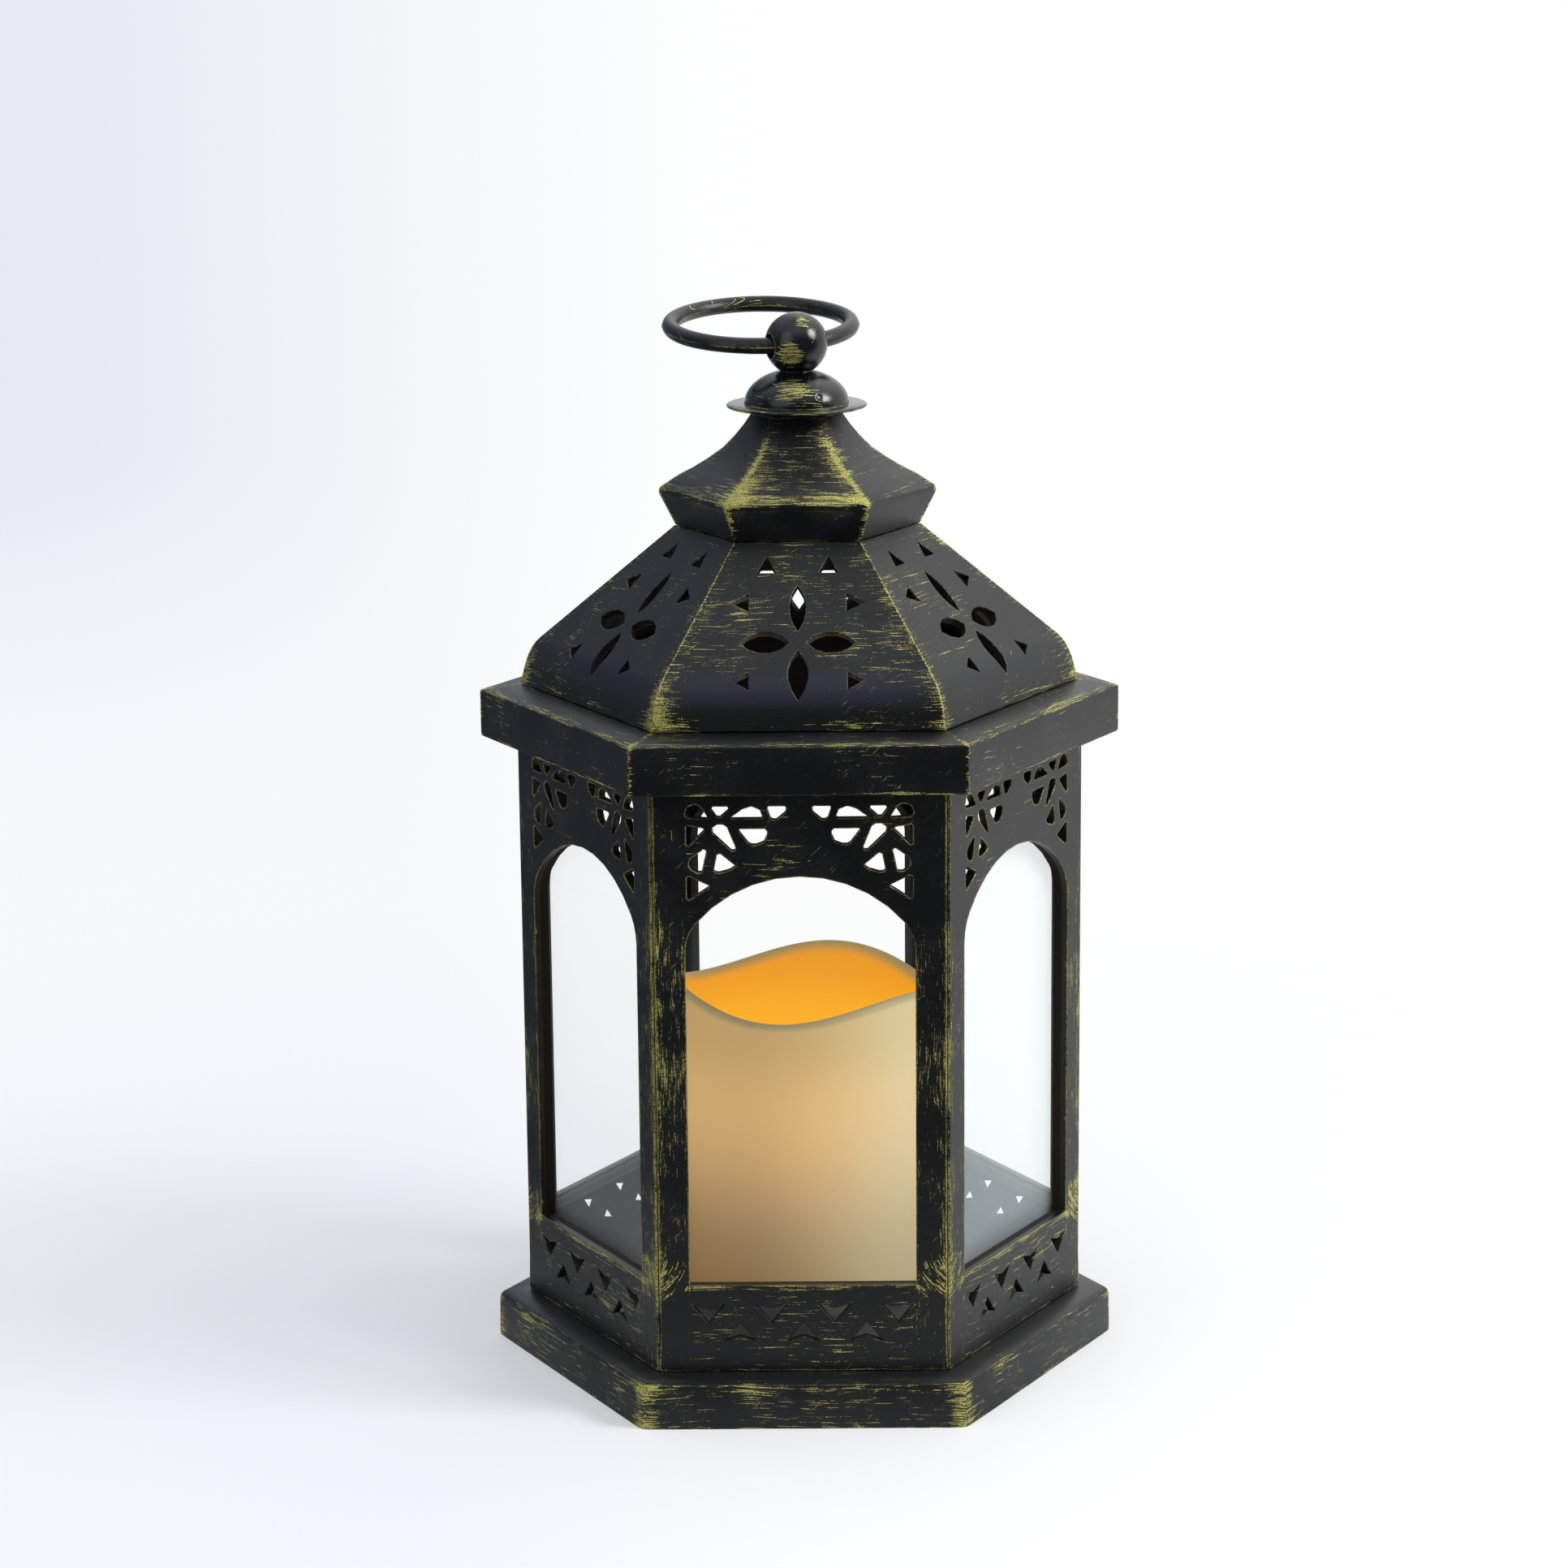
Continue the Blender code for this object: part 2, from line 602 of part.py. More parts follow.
def build_plinth(painted):
    step_r = PLINTH_R - PLINTH_WALL
    inner_step_r = step_r - 1.6
    cover_seat = COVER_TOP_Z + SEAT
    under_deck = PLINTH_DECK_Z - PLINTH_WALL
    plug_in = WALL_INSIDE_R - PLINTH_WALL
    profile = [
        (0, FLOOR_Z),
        (WALL_INSIDE_R, FLOOR_Z),
        (WALL_INSIDE_R, PLINTH_DECK_Z),
        (WALL_R + 0.5, PLINTH_DECK_Z),
        (PLINTH_TOP_R, PLINTH_EDGE_Z),
        (PLINTH_R, 0),
        (step_r, 0),
        (step_r, cover_seat),
        (inner_step_r, cover_seat),
        (inner_step_r, under_deck - 0.8),
        (plug_in, under_deck),
        (plug_in, FLOOR_Z - FLOOR_T),
        (0, FLOOR_Z - FLOOR_T),
    ]
    shell = turned(profile, SIDES)

    def outer_edge(middle, direction):
        upright_corner = abs(direction.z) > 0.9 and middle.xy.length > PLINTH_R - 1
        top_edge = abs(direction.z) < 0.1 and abs(middle.z - PLINTH_EDGE_Z) < 0.1
        return upright_corner or top_edge

    shell = rounded_edges(shell, PLINTH_EDGE_ROUND, 2, outer_edge)
    under_floor = FLOOR_Z - FLOOR_T / 2
    additions = [rod_mesh(FLOOR_HOLE_R + COLLAR_T, FLOOR_Z - COLLAR_H, under_floor, 40)]
    for x, y, _ in around(POST_CENTRE_R, BASE_SCREWS):
        additions.append(rod_mesh(POST_R, cover_seat, under_floor, 16, (x, y)))
    for _, _, angle in around(1.0, SIDES):
        rib = box_mesh((FLOOR_HOLE_R + 1, -RIB_T / 2, FLOOR_Z - 8),
                       (WALL_INSIDE_R - 1.5, RIB_T / 2, under_floor))
        rib.transform(Matrix.Rotation(math.radians(angle), 4, "Z"))
        additions.append(rib)
    shell = combined(shell, additions, "UNION")
    part = make_part("plinth", shell, painted, smooth=30)
    holes = [rod_mesh(FLOOR_HOLE_R, FLOOR_Z - COLLAR_H - 1, FLOOR_Z + 1, 40)]
    for x, y, _ in around(POST_CENTRE_R, BASE_SCREWS):
        holes.append(rod_mesh(SCREW_HOLE_R, 0, BASE_PILOT_TOP_Z, 14, (x, y)))
    cut_with(part, keep_cutter("plinth_holes", joined(holes)))

    cover_r = step_r - CORNER_SEAT
    plate = turned([(0, COVER_TOP_Z), (cover_r, COVER_TOP_Z), (cover_r, COVER_Z), (0, COVER_Z)], SIDES)
    cover = make_part("base_cover", plate, painted)
    openings = [rod_mesh(COVER_WINDOW_R, -1, COVER_TOP_Z + 1, 40)]
    sinks = []
    for x, y, _ in around(POST_CENTRE_R, BASE_SCREWS):
        openings.append(rod_mesh(SCREW_HOLE_R, -1, COVER_TOP_Z + 1, 14, (x, y)))
        sinks.append(rod_mesh(HEAD_R + 0.5, -1, COVER_Z + HEAD_SINK + HEAD_T + SEAT, 18, (x, y)))
    cut_with(cover, keep_cutter("cover_openings", joined(openings)))
    cut_with(cover, keep_cutter("cover_sinks", joined(sinks)))


def build_base_screws(steel):
    head_z = COVER_Z + HEAD_SINK
    for index, (x, y, _) in enumerate(around(POST_CENTRE_R, BASE_SCREWS), 1):
        screw = screw_mesh(head_z, BASE_PILOT_TOP_Z - 0.8, HEAD_R, HEAD_T, (x, y))
        make_part(f"base_screw_{index}", screw, steel, smooth=40, origin=(x, y, head_z))


def build_walls(painted, clear):
    panel = make_part("wall_panel_front", wall_panel_mesh(), painted)
    sheet = upright(flat_solid([arch(PANE_LAP)], PANE_T), FRAME_BACK + SEAT + PANE_T / 2)
    pane = make_part("pane_front", sheet, clear)
    for name, degrees in WALLS[1:]:
        turned_copy(f"wall_panel_{name}", panel, degrees)
        turned_copy(f"pane_{name}", pane, degrees)


def build_cornice(painted):
    outer_lip = WALL_R + CORNER_SEAT
    under = FASCIA_TOP_Z - CORNICE_T
    fascia_in = CORNICE_R - CORNICE_T
    groove_top = WALL_TOP_Z + SEAT
    profile = [
        (CORNICE_INSIDE_R, LEDGE_Z, 0),
        (LEDGE_R, LEDGE_Z, 0),
        (CORNICE_R, FASCIA_TOP_Z, CORNICE_EDGE_ROUND),
        (CORNICE_R, CORNICE_Z, CORNICE_EDGE_ROUND),
        (fascia_in, CORNICE_Z, 0),
        (fascia_in, under - 0.4, 0),
        (outer_lip + LIP_T, under + 0.3, 0),
        (outer_lip + LIP_T, GROOVE_Z, 0),
        (outer_lip, GROOVE_Z, 0),
        (outer_lip, groove_top, 0),
        (WALL_INSIDE_R, groove_top, 0),
        (WALL_INSIDE_R, GROOVE_Z, 0),
        (CORNICE_INSIDE_R, GROOVE_Z, 0),
    ]
    make_part("cornice", turned(rounded(profile, 2), SIDES), painted, smooth=35)


def petal(start, end, half_width, pieces=5):
    """Pointed lens along Y between start and end."""
    length = end - start
    radius = (length ** 2 / 4 + half_width ** 2) / (2 * half_width)
    reach = math.asin(length / 2 / radius)
    middle = (start + end) / 2
    right = arc((half_width - radius, middle), radius, -reach, reach, pieces)
    return right + mirrored(reversed(right))[1:-1]


def roof_pattern():
    """Outlines of one face's holes: four petals and six triangles."""
    outlines = [petal(*TOP_PETAL), petal(*BOTTOM_PETAL)]
    side = [(y, x) for x, y in petal(*SIDE_PETAL)]
    centre, base, apex, half = UPPER_TRIANGLE
    pointed = [[(centre - half, base), (centre + half, base), (centre, apex)]]
    for height, base, apex, half in (MIDDLE_TRIANGLE, LOWER_TRIANGLE):
        pointed.append([(base, height - half), (apex, height), (base, height + half)])
    for outline in [side] + pointed:
        outlines += [outline, mirrored(outline)]
    return outlines


def roof_hip():
    """Hip line from the foot up, with the shoulder rounded between the waist and the slope."""
    foot, waist, shoulder, top = ROOF_FOOT, ROOF_WAIST, ROOF_SHOULDER, ROOF_TOP
    rise = (waist[0] - foot[0]) / (waist[1] - foot[1])
    slope = (top[0] - shoulder[0]) / (top[1] - shoulder[1])
    meet_z = (shoulder[0] - waist[0] + rise * waist[1] - slope * shoulder[1]) / (rise - slope)
    meet = Vector((waist[0] + rise * (meet_z - waist[1]), meet_z))
    points = [foot]
    for step in range(6):
        share = step / 5
        low = Vector(waist).lerp(meet, share)
        high = meet.lerp(Vector(shoulder), share)
        points.append(tuple(low.lerp(high, share)))
    return points + [top]


def build_roof(painted):
    hip = roof_hip()
    outside = apothem_points(hip)
    lining = corner_points(inset(list(reversed(outside)), ROOF_T))
    first, second = lining[:2]
    share = (UNDER_CAP_Z - first[1]) / (second[1] - first[1])
    cap_r = first[0] + (second[0] - first[0]) * share
    lining = [point for point in lining if ROOF_FOOT[1] + 1.5 < point[1] < UNDER_CAP_Z]
    tongue_r = CORNICE_INSIDE_R - CORNER_SEAT
    tongue_in = tongue_r - TONGUE_T
    profile = [(0, ROOF_TOP[1])] + list(reversed(hip))
    profile += [(tongue_r, ROOF_FOOT[1]), (tongue_r, ROOF_FOOT[1] - TONGUE_DEPTH),
                (tongue_in, ROOF_FOOT[1] - TONGUE_DEPTH), (tongue_in, ROOF_FOOT[1] + 1.0)]
    profile += list(reversed(lining)) + [(cap_r, UNDER_CAP_Z), (0, UNDER_CAP_Z)]
    part = make_part("roof", turned(profile, SIDES), painted, smooth=25)

    slope = math.atan2(ROOF_TOP[1] - ROOF_SHOULDER[1], (ROOF_SHOULDER[0] - ROOF_TOP[0]) * COS30)
    share = (ROOF_TOP[1] - FLOWER_Z) / (ROOF_TOP[1] - ROOF_SHOULDER[1])
    apothem = (ROOF_TOP[0] + (ROOF_SHOULDER[0] - ROOF_TOP[0]) * share) * COS30
    pattern = flat_solid(roof_pattern(), 12.0)
    place = Matrix.Translation((0, -apothem * MM, FLOWER_Z * MM)) @ Matrix.Rotation(slope, 4, "X")
    pattern.transform(place)
    faces = []
    for _, _, angle in around(1.0, SIDES):
        copy = pattern.copy()
        copy.transform(Matrix.Rotation(math.radians(angle), 4, "Z"))
        faces.append(copy)
    cut_with(part, keep_cutter("roof_pattern", joined(faces)))
    screw_hole = rod_mesh(SCREW_HOLE_R, UNDER_CAP_Z - 1, ROOF_TOP[1] + 1, 16)
    cut_with(part, keep_cutter("roof_screw_hole", screw_hole))


def build_crown(painted):
    hip = [(CROWN_FOOT_R, CROWN_FOOT_Z)]
    hip += [(radius, CROWN_FOOT_Z + height) for radius, height in CROWN_LIP + CROWN_BELL]
    lining = corner_points(inset(list(reversed(apothem_points(hip))), CROWN_T))
    boss_z = hip[-2][1] - 2.5
    hollow = [point for point in lining
              if CROWN_FOOT_Z + 0.5 < point[1] < boss_z and point[0] > SCREW_HOLE_R + 4]
    foot_in = CROWN_FOOT_R - CROWN_T / COS30 - 0.4
    profile = [(0, CROWN_TOP_Z)] + list(reversed(hip)) + [(foot_in, CROWN_FOOT_Z)]
    profile += list(reversed(hollow)) + [(hollow[0][0] - 2.5, boss_z), (0, boss_z)]
    shell = turned(profile, SIDES)

    def hip_edge(middle, direction):
        for low, high in zip(hip[2:], hip[3:]):
            apart = math.hypot(middle.xy.length - (low[0] + high[0]) / 2, middle.z - (low[1] + high[1]) / 2)
            if apart < 0.05:
                return True
        return False

    shell = rounded_edges(shell, CROWN_HIP_ROUND, 1, hip_edge)
    part = make_part("crown", shell, painted, smooth=28)
    cut_with(part, keep_cutter("crown_screw_hole", rod_mesh(SCREW_HOLE_R, CROWN_FOOT_Z, CROWN_TOP_Z + 1, 16)))


def ring_frame():
    """Unit vectors of the ring: along the ball's hole, from the ball to the far side, and square to both."""
    turn = Matrix.Rotation(math.radians(RING_HEADING), 3, "Z")
    tilt = Matrix.Rotation(math.radians(-RING_TILT), 3, "Y")
    lift = Matrix.Rotation(math.radians(RING_LIFT), 3, "X")
    return (turn @ tilt @ lift).col


def build_finial(painted, steel):
    seat_z = CROWN_TOP_Z + SEAT
    ball = arc((0.0, BALL_Z), BALL_R, math.pi / 2, -math.radians(66), 10)
    dome_foot = FLANGE_Z + FLANGE_T / 2
    dome_h = DOME_TOP_Z - dome_foot
    dome = []
    for degrees in (72, 58, 44, 30, 15, 0):
        angle = math.radians(degrees)
        dome.append((DOME_R * math.cos(angle), dome_foot + dome_h * math.sin(angle)))
    profile = [(0.0, BALL_Z + BALL_R)] + ball[1:] + dome
    profile += [
        (FLANGE_R - 0.4, dome_foot),
        (FLANGE_R, FLANGE_Z),
        (FLANGE_R - 0.4, FLANGE_Z - FLANGE_T / 2),
        (CROWN_BELL[-1][0] - 0.6, FLANGE_Z - FLANGE_T / 2),
        (CROWN_BELL[-1][0] - 1.4, seat_z),
        (0.0, seat_z),
    ]
    part = make_part("finial", turned(profile, 30), painted, smooth=35)
    hole_axis = ring_frame()[0]
    bore = rod_mesh(BALL_HOLE_R, -2 * BALL_R, 2 * BALL_R, 20)
    bore.transform(hole_axis.to_track_quat("Z", "Y").to_matrix().to_4x4())
    bore.transform(Matrix.Translation((0, 0, BALL_Z * MM)))
    pilot = rod_mesh(SCREW_HOLE_R, seat_z - 1, FINIAL_PILOT_TOP_Z, 16)
    cut_with(part, keep_cutter("finial_holes", joined([bore, pilot])))

    washer_z = UNDER_CAP_Z - SEAT - WASHER_T
    washer = turned([(SCREW_HOLE_R, washer_z + WASHER_T), (WASHER_R, washer_z + WASHER_T),
                     (WASHER_R, washer_z), (SCREW_HOLE_R, washer_z)], 20)
    make_part("finial_washer", washer, steel, smooth=40, origin=(0, 0, washer_z))
    head_z = washer_z - SEAT - FINIAL_HEAD_T
    screw = screw_mesh(head_z, FINIAL_PILOT_TOP_Z - 0.6, FINIAL_HEAD_R, FINIAL_HEAD_T)
    make_part("finial_screw", screw, steel, smooth=40, origin=(0, 0, head_z))


def build_ring(painted):
    bpy.ops.mesh.primitive_torus_add(major_radius=RING_R * MM, minor_radius=RING_TUBE_R * MM,
                                     major_segments=44, minor_segments=10)
    ring = bpy.context.active_object
    mesh = ring.data
    bpy.data.objects.remove(ring)
    along, away, square = ring_frame()
    frame = Matrix((along, away, square)).transposed().to_4x4()
    sag = BALL_R ** 2 / (4 * RING_R)
    centre = away * (RING_R - sag) + Vector((0, 0, BALL_Z))
    mesh.transform(Matrix.Translation(centre * MM) @ frame)
    make_part("ring_handle", mesh, painted, smooth=60, origin=(0, 0, BALL_Z))


def build_candle_shell(wax):
    inner_r = CANDLE_R - CANDLE_WALL
    under_well = WELL_Z - WELL_T
    profile = [
        (inner_r + 1.0, RIM_Z - 0.6),
        ((CANDLE_R + inner_r) / 2, RIM_Z),
        (CANDLE_R - 1.0, RIM_Z - 0.6),
        (CANDLE_R, RIM_Z - 1.8),
        (CANDLE_R, WAVE_FOOT_Z),
        (CANDLE_R, CANDLE_Z + 1.0),
        (CANDLE_R - 1.0, CANDLE_Z),
        (CANDLE_BORE_R, CANDLE_Z),
        (CANDLE_BORE_R, under_well - 4.0),
        (CANDLE_BORE_R - 4.0, under_well),
        (LAMP_R + 0.7, under_well),
        (LAMP_R + 0.7, WELL_Z - 0.8),
        (inner_r - 5.0, WELL_Z),
        (inner_r, WELL_Z + 5.0),
        (inner_r, WAVE_FOOT_Z),
        (inner_r, RIM_Z - 1.8),
    ]
    mesh = turned(profile, 42)
    for vert in mesh.vertices:
        height = vert.co.z / MM
        if height > WAVE_FOOT_Z:
            heading = math.atan2(vert.co.y, vert.co.x)
            wave = RIM_WAVE * math.cos(3 * (heading - math.radians(RIM_WAVE_TURN)))
            wave += RIM_SWAY * math.cos(2 * (heading - math.radians(RIM_SWAY_TURN)))
            share = (height - WAVE_FOOT_Z) / (RIM_Z - WAVE_FOOT_Z)
            vert.co.z += wave * share * MM
    make_part("candle_shell", mesh, wax, smooth=40, origin=(0, 0, CANDLE_Z))


def lug_mesh(radius, low, high, half_angle, inner):
    """Sector blocks round the door's axis, from an inner radius out to radius."""
    lugs = []
    for _, _, angle in around(1.0, LUGS):
        outline = arc((0.0, 0.0), radius, math.radians(-half_angle), math.radians(half_angle), 3)
        outline += arc((0.0, 0.0), inner, math.radians(half_angle), math.radians(-half_angle), 2)
        block = flat_solid([outline], high - low)
        block.transform(Matrix.Translation((0, 0, (low + high) / 2 * MM)) @
                        Matrix.Rotation(math.radians(angle), 4, "Z"))
        lugs.append(block)
    return lugs


def build_candle_base(white):
    foot_top = DOOR_TOP_Z + SEAT + 1.8
    groove_top = DOOR_TOP_Z + SEAT
    groove_low = LUG_Z - SEAT
    mouth_r = DOOR_R + SEAT
    groove_r = LUG_R + SEAT
    tube_r = TUBE_BORE_R + TUBE_T
    under_tube_roof = TUBE_TOP_Z - TUBE_ROOF_T
    lamp_seat_r = LAMP_FLANGE_R + SEAT
    profile = [
        (LAMP_BORE_R, LAMP_SEAT_Z),
        (lamp_seat_r, LAMP_SEAT_Z),
        (lamp_seat_r, LAMP_POST_Z),
        (LAMP_POST_R, LAMP_POST_Z),
        (LAMP_POST_R, TUBE_TOP_Z + 2.5),
        (LAMP_POST_R + 2.0, TUBE_TOP_Z),
        (tube_r, TUBE_TOP_Z),
        (tube_r, foot_top),
        (DOOR_HOUSING_R, foot_top),
        (DOOR_HOUSING_R, BASE_FLOOR_TOP_Z),
        (BASE_INSIDE_R, BASE_FLOOR_TOP_Z),
        (BASE_INSIDE_R, BASE_RIM_Z),
        (BASE_R, BASE_RIM_Z),
        (BASE_R, CANDLE_Z),
        (mouth_r, CANDLE_Z),
        (mouth_r, groove_low),
        (groove_r, groove_low),
        (groove_r, groove_top),
        (TUBE_BORE_R, groove_top),
        (TUBE_BORE_R, under_tube_roof),
        (LAMP_BORE_R, under_tube_roof),
    ]
    body = turned(profile, 30)
    peg_y = (CIRCUIT_NEAR_Y + CIRCUIT_FAR_Y) / 2
    pegs = []
    for side in (-1, 1):
        pegs.append(rod_mesh(PEG_R, BASE_FLOOR_TOP_Z - 0.5, CIRCUIT_Z - SEAT, 10, (side * PEG_X, peg_y)))
    body = combined(body, pegs, "UNION")
    part = make_part("candle_base", body, white, smooth=30)
    notches = joined(lug_mesh(groove_r, CANDLE_Z - 1, groove_low + 0.5, LUG_HALF_ANGLE + 2.0, mouth_r - 1.0))
    notches.transform(Matrix.Rotation(math.radians(UNLOCK_TURN), 4, "Z"))
    slot_half = (KNOB_STEM[0] + SWITCH_TRAVEL) / 2 + SEAT
    slot_reach = KNOB_STEM[1] / 2 + SEAT
    slot = box_mesh((-slot_half, SWITCH_Y - slot_reach, CANDLE_Z - 1),
                    (slot_half, SWITCH_Y + slot_reach, BASE_FLOOR_TOP_Z + 1))
    exit_slot = box_mesh((-1.6, 0.5, LEAD_EXIT_Z - 2.0), (1.6, LAMP_POST_R + 1, LEAD_EXIT_Z + 2.0))
    cut_with(part, keep_cutter("base_notches", notches))
    cut_with(part, keep_cutter("base_slots", joined([slot, exit_slot])))


def build_battery_door(white):
    ring_in = DOOR_R - DOOR_RING_T
    profile = [
        (0, DOOR_Z + DOOR_T),
        (ring_in, DOOR_Z + DOOR_T),
        (ring_in, DOOR_TOP_Z),
        (DOOR_R, DOOR_TOP_Z),
        (DOOR_R, DOOR_Z),
        (0, DOOR_Z),
    ]
    disc = turned(profile, 32)
    disc = combined(disc, lug_mesh(LUG_R, LUG_Z, DOOR_TOP_Z - 0.15, LUG_HALF_ANGLE, DOOR_R - 1.0), "UNION")
    part = make_part("battery_door", disc, white, smooth=30, origin=(0, 0, DOOR_Z))
    long, wide, deep = COIN_SLOT
    coin = box_mesh((-long / 2, -wide / 2, DOOR_Z - 1), (long / 2, wide / 2, DOOR_Z + deep))
    cut_with(part, keep_cutter("coin_slot", coin))


def build_cells(jacket, steel, board):
    for name, base_z in (("contact_board_bottom", LOWER_BOARD_Z), ("contact_board_top", UPPER_BOARD_Z)):
        disc = rod_mesh(BOARD_R, base_z, base_z + BOARD_T, 28)
        make_part(name, disc, board, smooth=40, origin=(0, 0, base_z))
    shoulder = CELL_R - 0.5
    nub_r = 2.7
    for index, (x, y, _) in enumerate(around(CELL_SPREAD, 3, 90), 1):
        top = CELL_LENGTH
        profile = [(0, top), (nub_r, top), (nub_r, top - CELL_NUB), (shoulder, top - CELL_NUB),
                   (CELL_R, top - CELL_NUB - 0.5), (CELL_R, 0.5), (shoulder, 0), (0, 0)]
        cell = turned(profile, 18)
        upside_down = index == 2
        if upside_down:
            cell.transform(Matrix.Rotation(math.pi, 4, "X"))
            base_z = UPPER_BOARD_Z - SEAT - SPRING_H - SEAT
            spring_z = base_z + SEAT
        else:
            base_z = CELL_FOOT_Z
            spring_z = CELL_FOOT_Z - SEAT - SPRING_H
        cell.transform(Matrix.Translation((x * MM, y * MM, base_z * MM)))
        make_part(f"battery_{index}", cell, jacket, smooth=40, origin=(x, y, base_z))
        coil = []
        turns = 2.5
        steps = 20
        for step in range(steps + 1):
            turn = 2 * math.pi * turns * step / steps
            height = spring_z + SPRING_WIRE_R + (SPRING_H - 2 * SPRING_WIRE_R) * step / steps
            coil.append((x + SPRING_R * math.cos(turn), y + SPRING_R * math.sin(turn), height))
        spring = wire_mesh(coil, SPRING_WIRE_R, 0)
        make_part(f"contact_spring_{index}", spring, steel, smooth=60, origin=(x, y, spring_z))


def build_electronics(board, black, lamp_glass, steel):
    middle_y = (CIRCUIT_NEAR_Y + CIRCUIT_FAR_Y) / 2
    circuit_top = CIRCUIT_Z + CIRCUIT_T
    plate = box_mesh((-CIRCUIT_HALF_X, CIRCUIT_NEAR_Y, CIRCUIT_Z),
                     (CIRCUIT_HALF_X, CIRCUIT_FAR_Y, circuit_top))
    chip = box_mesh((-3.0, middle_y - 1.5, circuit_top - 0.2), (3.0, middle_y + 2.5, circuit_top + 1.4))
    plate = combined(plate, [chip], "UNION")
    make_part("circuit_board", plate, board, origin=(0, middle_y, CIRCUIT_Z))

    low = BASE_FLOOR_TOP_Z + SEAT
    long, deep, tall = SWITCH_BODY
    head_x, head_y, head_t = KNOB_HEAD
    stem_x, stem_y = KNOB_STEM

    def block(middle_x, size_x, size_y, bottom, top):
        near = (middle_x - size_x / 2, SWITCH_Y - size_y / 2, bottom)
        far = (middle_x + size_x / 2, SWITCH_Y + size_y / 2, top)
        return box_mesh(near, far)

    case = block(0.0, long, deep, low, low + tall)
    room_x = head_x + SWITCH_TRAVEL + 2 * SEAT
    pocket = block(0.0, room_x, head_y + 2 * SEAT, low - 1, low + head_t + 2 * SEAT)
    make_part("switch_body", combined(case, [pocket], "DIFFERENCE"), black, origin=(0, SWITCH_Y, low))
    knob_x = SWITCH_TRAVEL / 2
    head = block(knob_x, head_x, head_y, low, low + head_t)
    stem = block(knob_x, stem_x, stem_y, CANDLE_Z + 0.2, low + 1)
    make_part("switch_knob", combined(head, [stem], "UNION"), black, origin=(knob_x, SWITCH_Y, low))

    flange_z = LAMP_SEAT_Z + SEAT
    tip = arc((0.0, LAMP_TIP_Z - LAMP_R), LAMP_R, math.pi / 2, 0.0, 4)
    profile = [(0.0, LAMP_TIP_Z)] + tip[1:]
    flange_top = flange_z + 1.0
    profile += [(LAMP_R, flange_top), (LAMP_FLANGE_R, flange_top), (LAMP_FLANGE_R, flange_z), (0.0, flange_z)]
    make_part("led_bulb", turned(profile, 18), lamp_glass, smooth=40, origin=(0, 0, flange_z))

    outside = TUBE_BORE_R + TUBE_T + 1.5
    drop = LEAD_EXIT_Z - circuit_top
    for name, side in (("led_lead_long", -1), ("led_lead_short", 1)):
        x = side * LEAD_X
        path = [
            (x, 0.0, flange_z - SEAT),
            (x, 0.0, LEAD_EXIT_Z + 1.5),
            (x, 0.6, LEAD_EXIT_Z + 0.4),
            (x, 2.5, LEAD_EXIT_Z),
            (x, outside - 2.0, LEAD_EXIT_Z),
            (x, outside - 0.4, LEAD_EXIT_Z - 0.6),
            (x, outside, LEAD_EXIT_Z - 2.5),
            (x, outside, circuit_top + drop * 0.4),
            (side * PEG_X / 2, outside + 1.5, circuit_top + drop * 0.2),
            (side * PEG_X, CIRCUIT_NEAR_Y + 2.0, circuit_top + 3.5),
            (side * PEG_X, CIRCUIT_NEAR_Y + 2.0, circuit_top + SEAT),
        ]
        make_part(name, wire_mesh(path, LEAD_R, 1), steel, smooth=60, origin=path[-1])


for old in list(bpy.data.objects):
    bpy.data.objects.remove(old)

parts = make_collection("hexagonal_lantern")
cutters = make_collection("cutters")

black_paint = make_material("black_paint", (0.018, 0.019, 0.022), 0.55)
clear_sheet = make_material("clear_sheet", (0.93, 0.96, 1.0), 0.08, alpha=0.25)
candle_wax = make_material("candle_wax", (0.90, 0.62, 0.30), 0.5, glow=(0.35, 0.14, 0.02))
white_plastic = make_material("white_plastic", (0.78, 0.76, 0.70), 0.45)
black_plastic = make_material("black_plastic", (0.02, 0.02, 0.02), 0.5)
screw_steel = make_material("screw_steel", (0.55, 0.55, 0.56), 0.35, metallic=1.0)
green_board = make_material("green_board", (0.03, 0.19, 0.08), 0.5)
cell_jacket = make_material("cell_jacket", (0.03, 0.05, 0.12), 0.35, metallic=0.3)
lamp_glass = make_material("lamp_glass", (1.0, 0.72, 0.30), 0.2, glow=(1.0, 0.5, 0.1))

build_plinth(black_paint)
build_base_screws(screw_steel)
build_walls(black_paint, clear_sheet)
build_cornice(black_paint)
build_roof(black_paint)
build_crown(black_paint)
build_finial(black_paint, screw_steel)
build_ring(black_paint)
build_candle_shell(candle_wax)
build_candle_base(white_plastic)
build_battery_door(white_plastic)
build_cells(cell_jacket, screw_steel, green_board)
build_electronics(green_board, black_plastic, lamp_glass, screw_steel)
bpy.context.view_layer.update()
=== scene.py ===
import math

import bmesh
import bpy
from mathutils import Matrix, Vector


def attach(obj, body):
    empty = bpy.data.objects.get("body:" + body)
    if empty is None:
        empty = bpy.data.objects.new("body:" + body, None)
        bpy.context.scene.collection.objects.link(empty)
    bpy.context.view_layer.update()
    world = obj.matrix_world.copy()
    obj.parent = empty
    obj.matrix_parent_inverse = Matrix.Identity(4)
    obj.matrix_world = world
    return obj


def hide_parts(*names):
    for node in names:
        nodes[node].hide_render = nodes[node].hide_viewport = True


MM = 0.001
TAN30 = math.tan(math.radians(30))

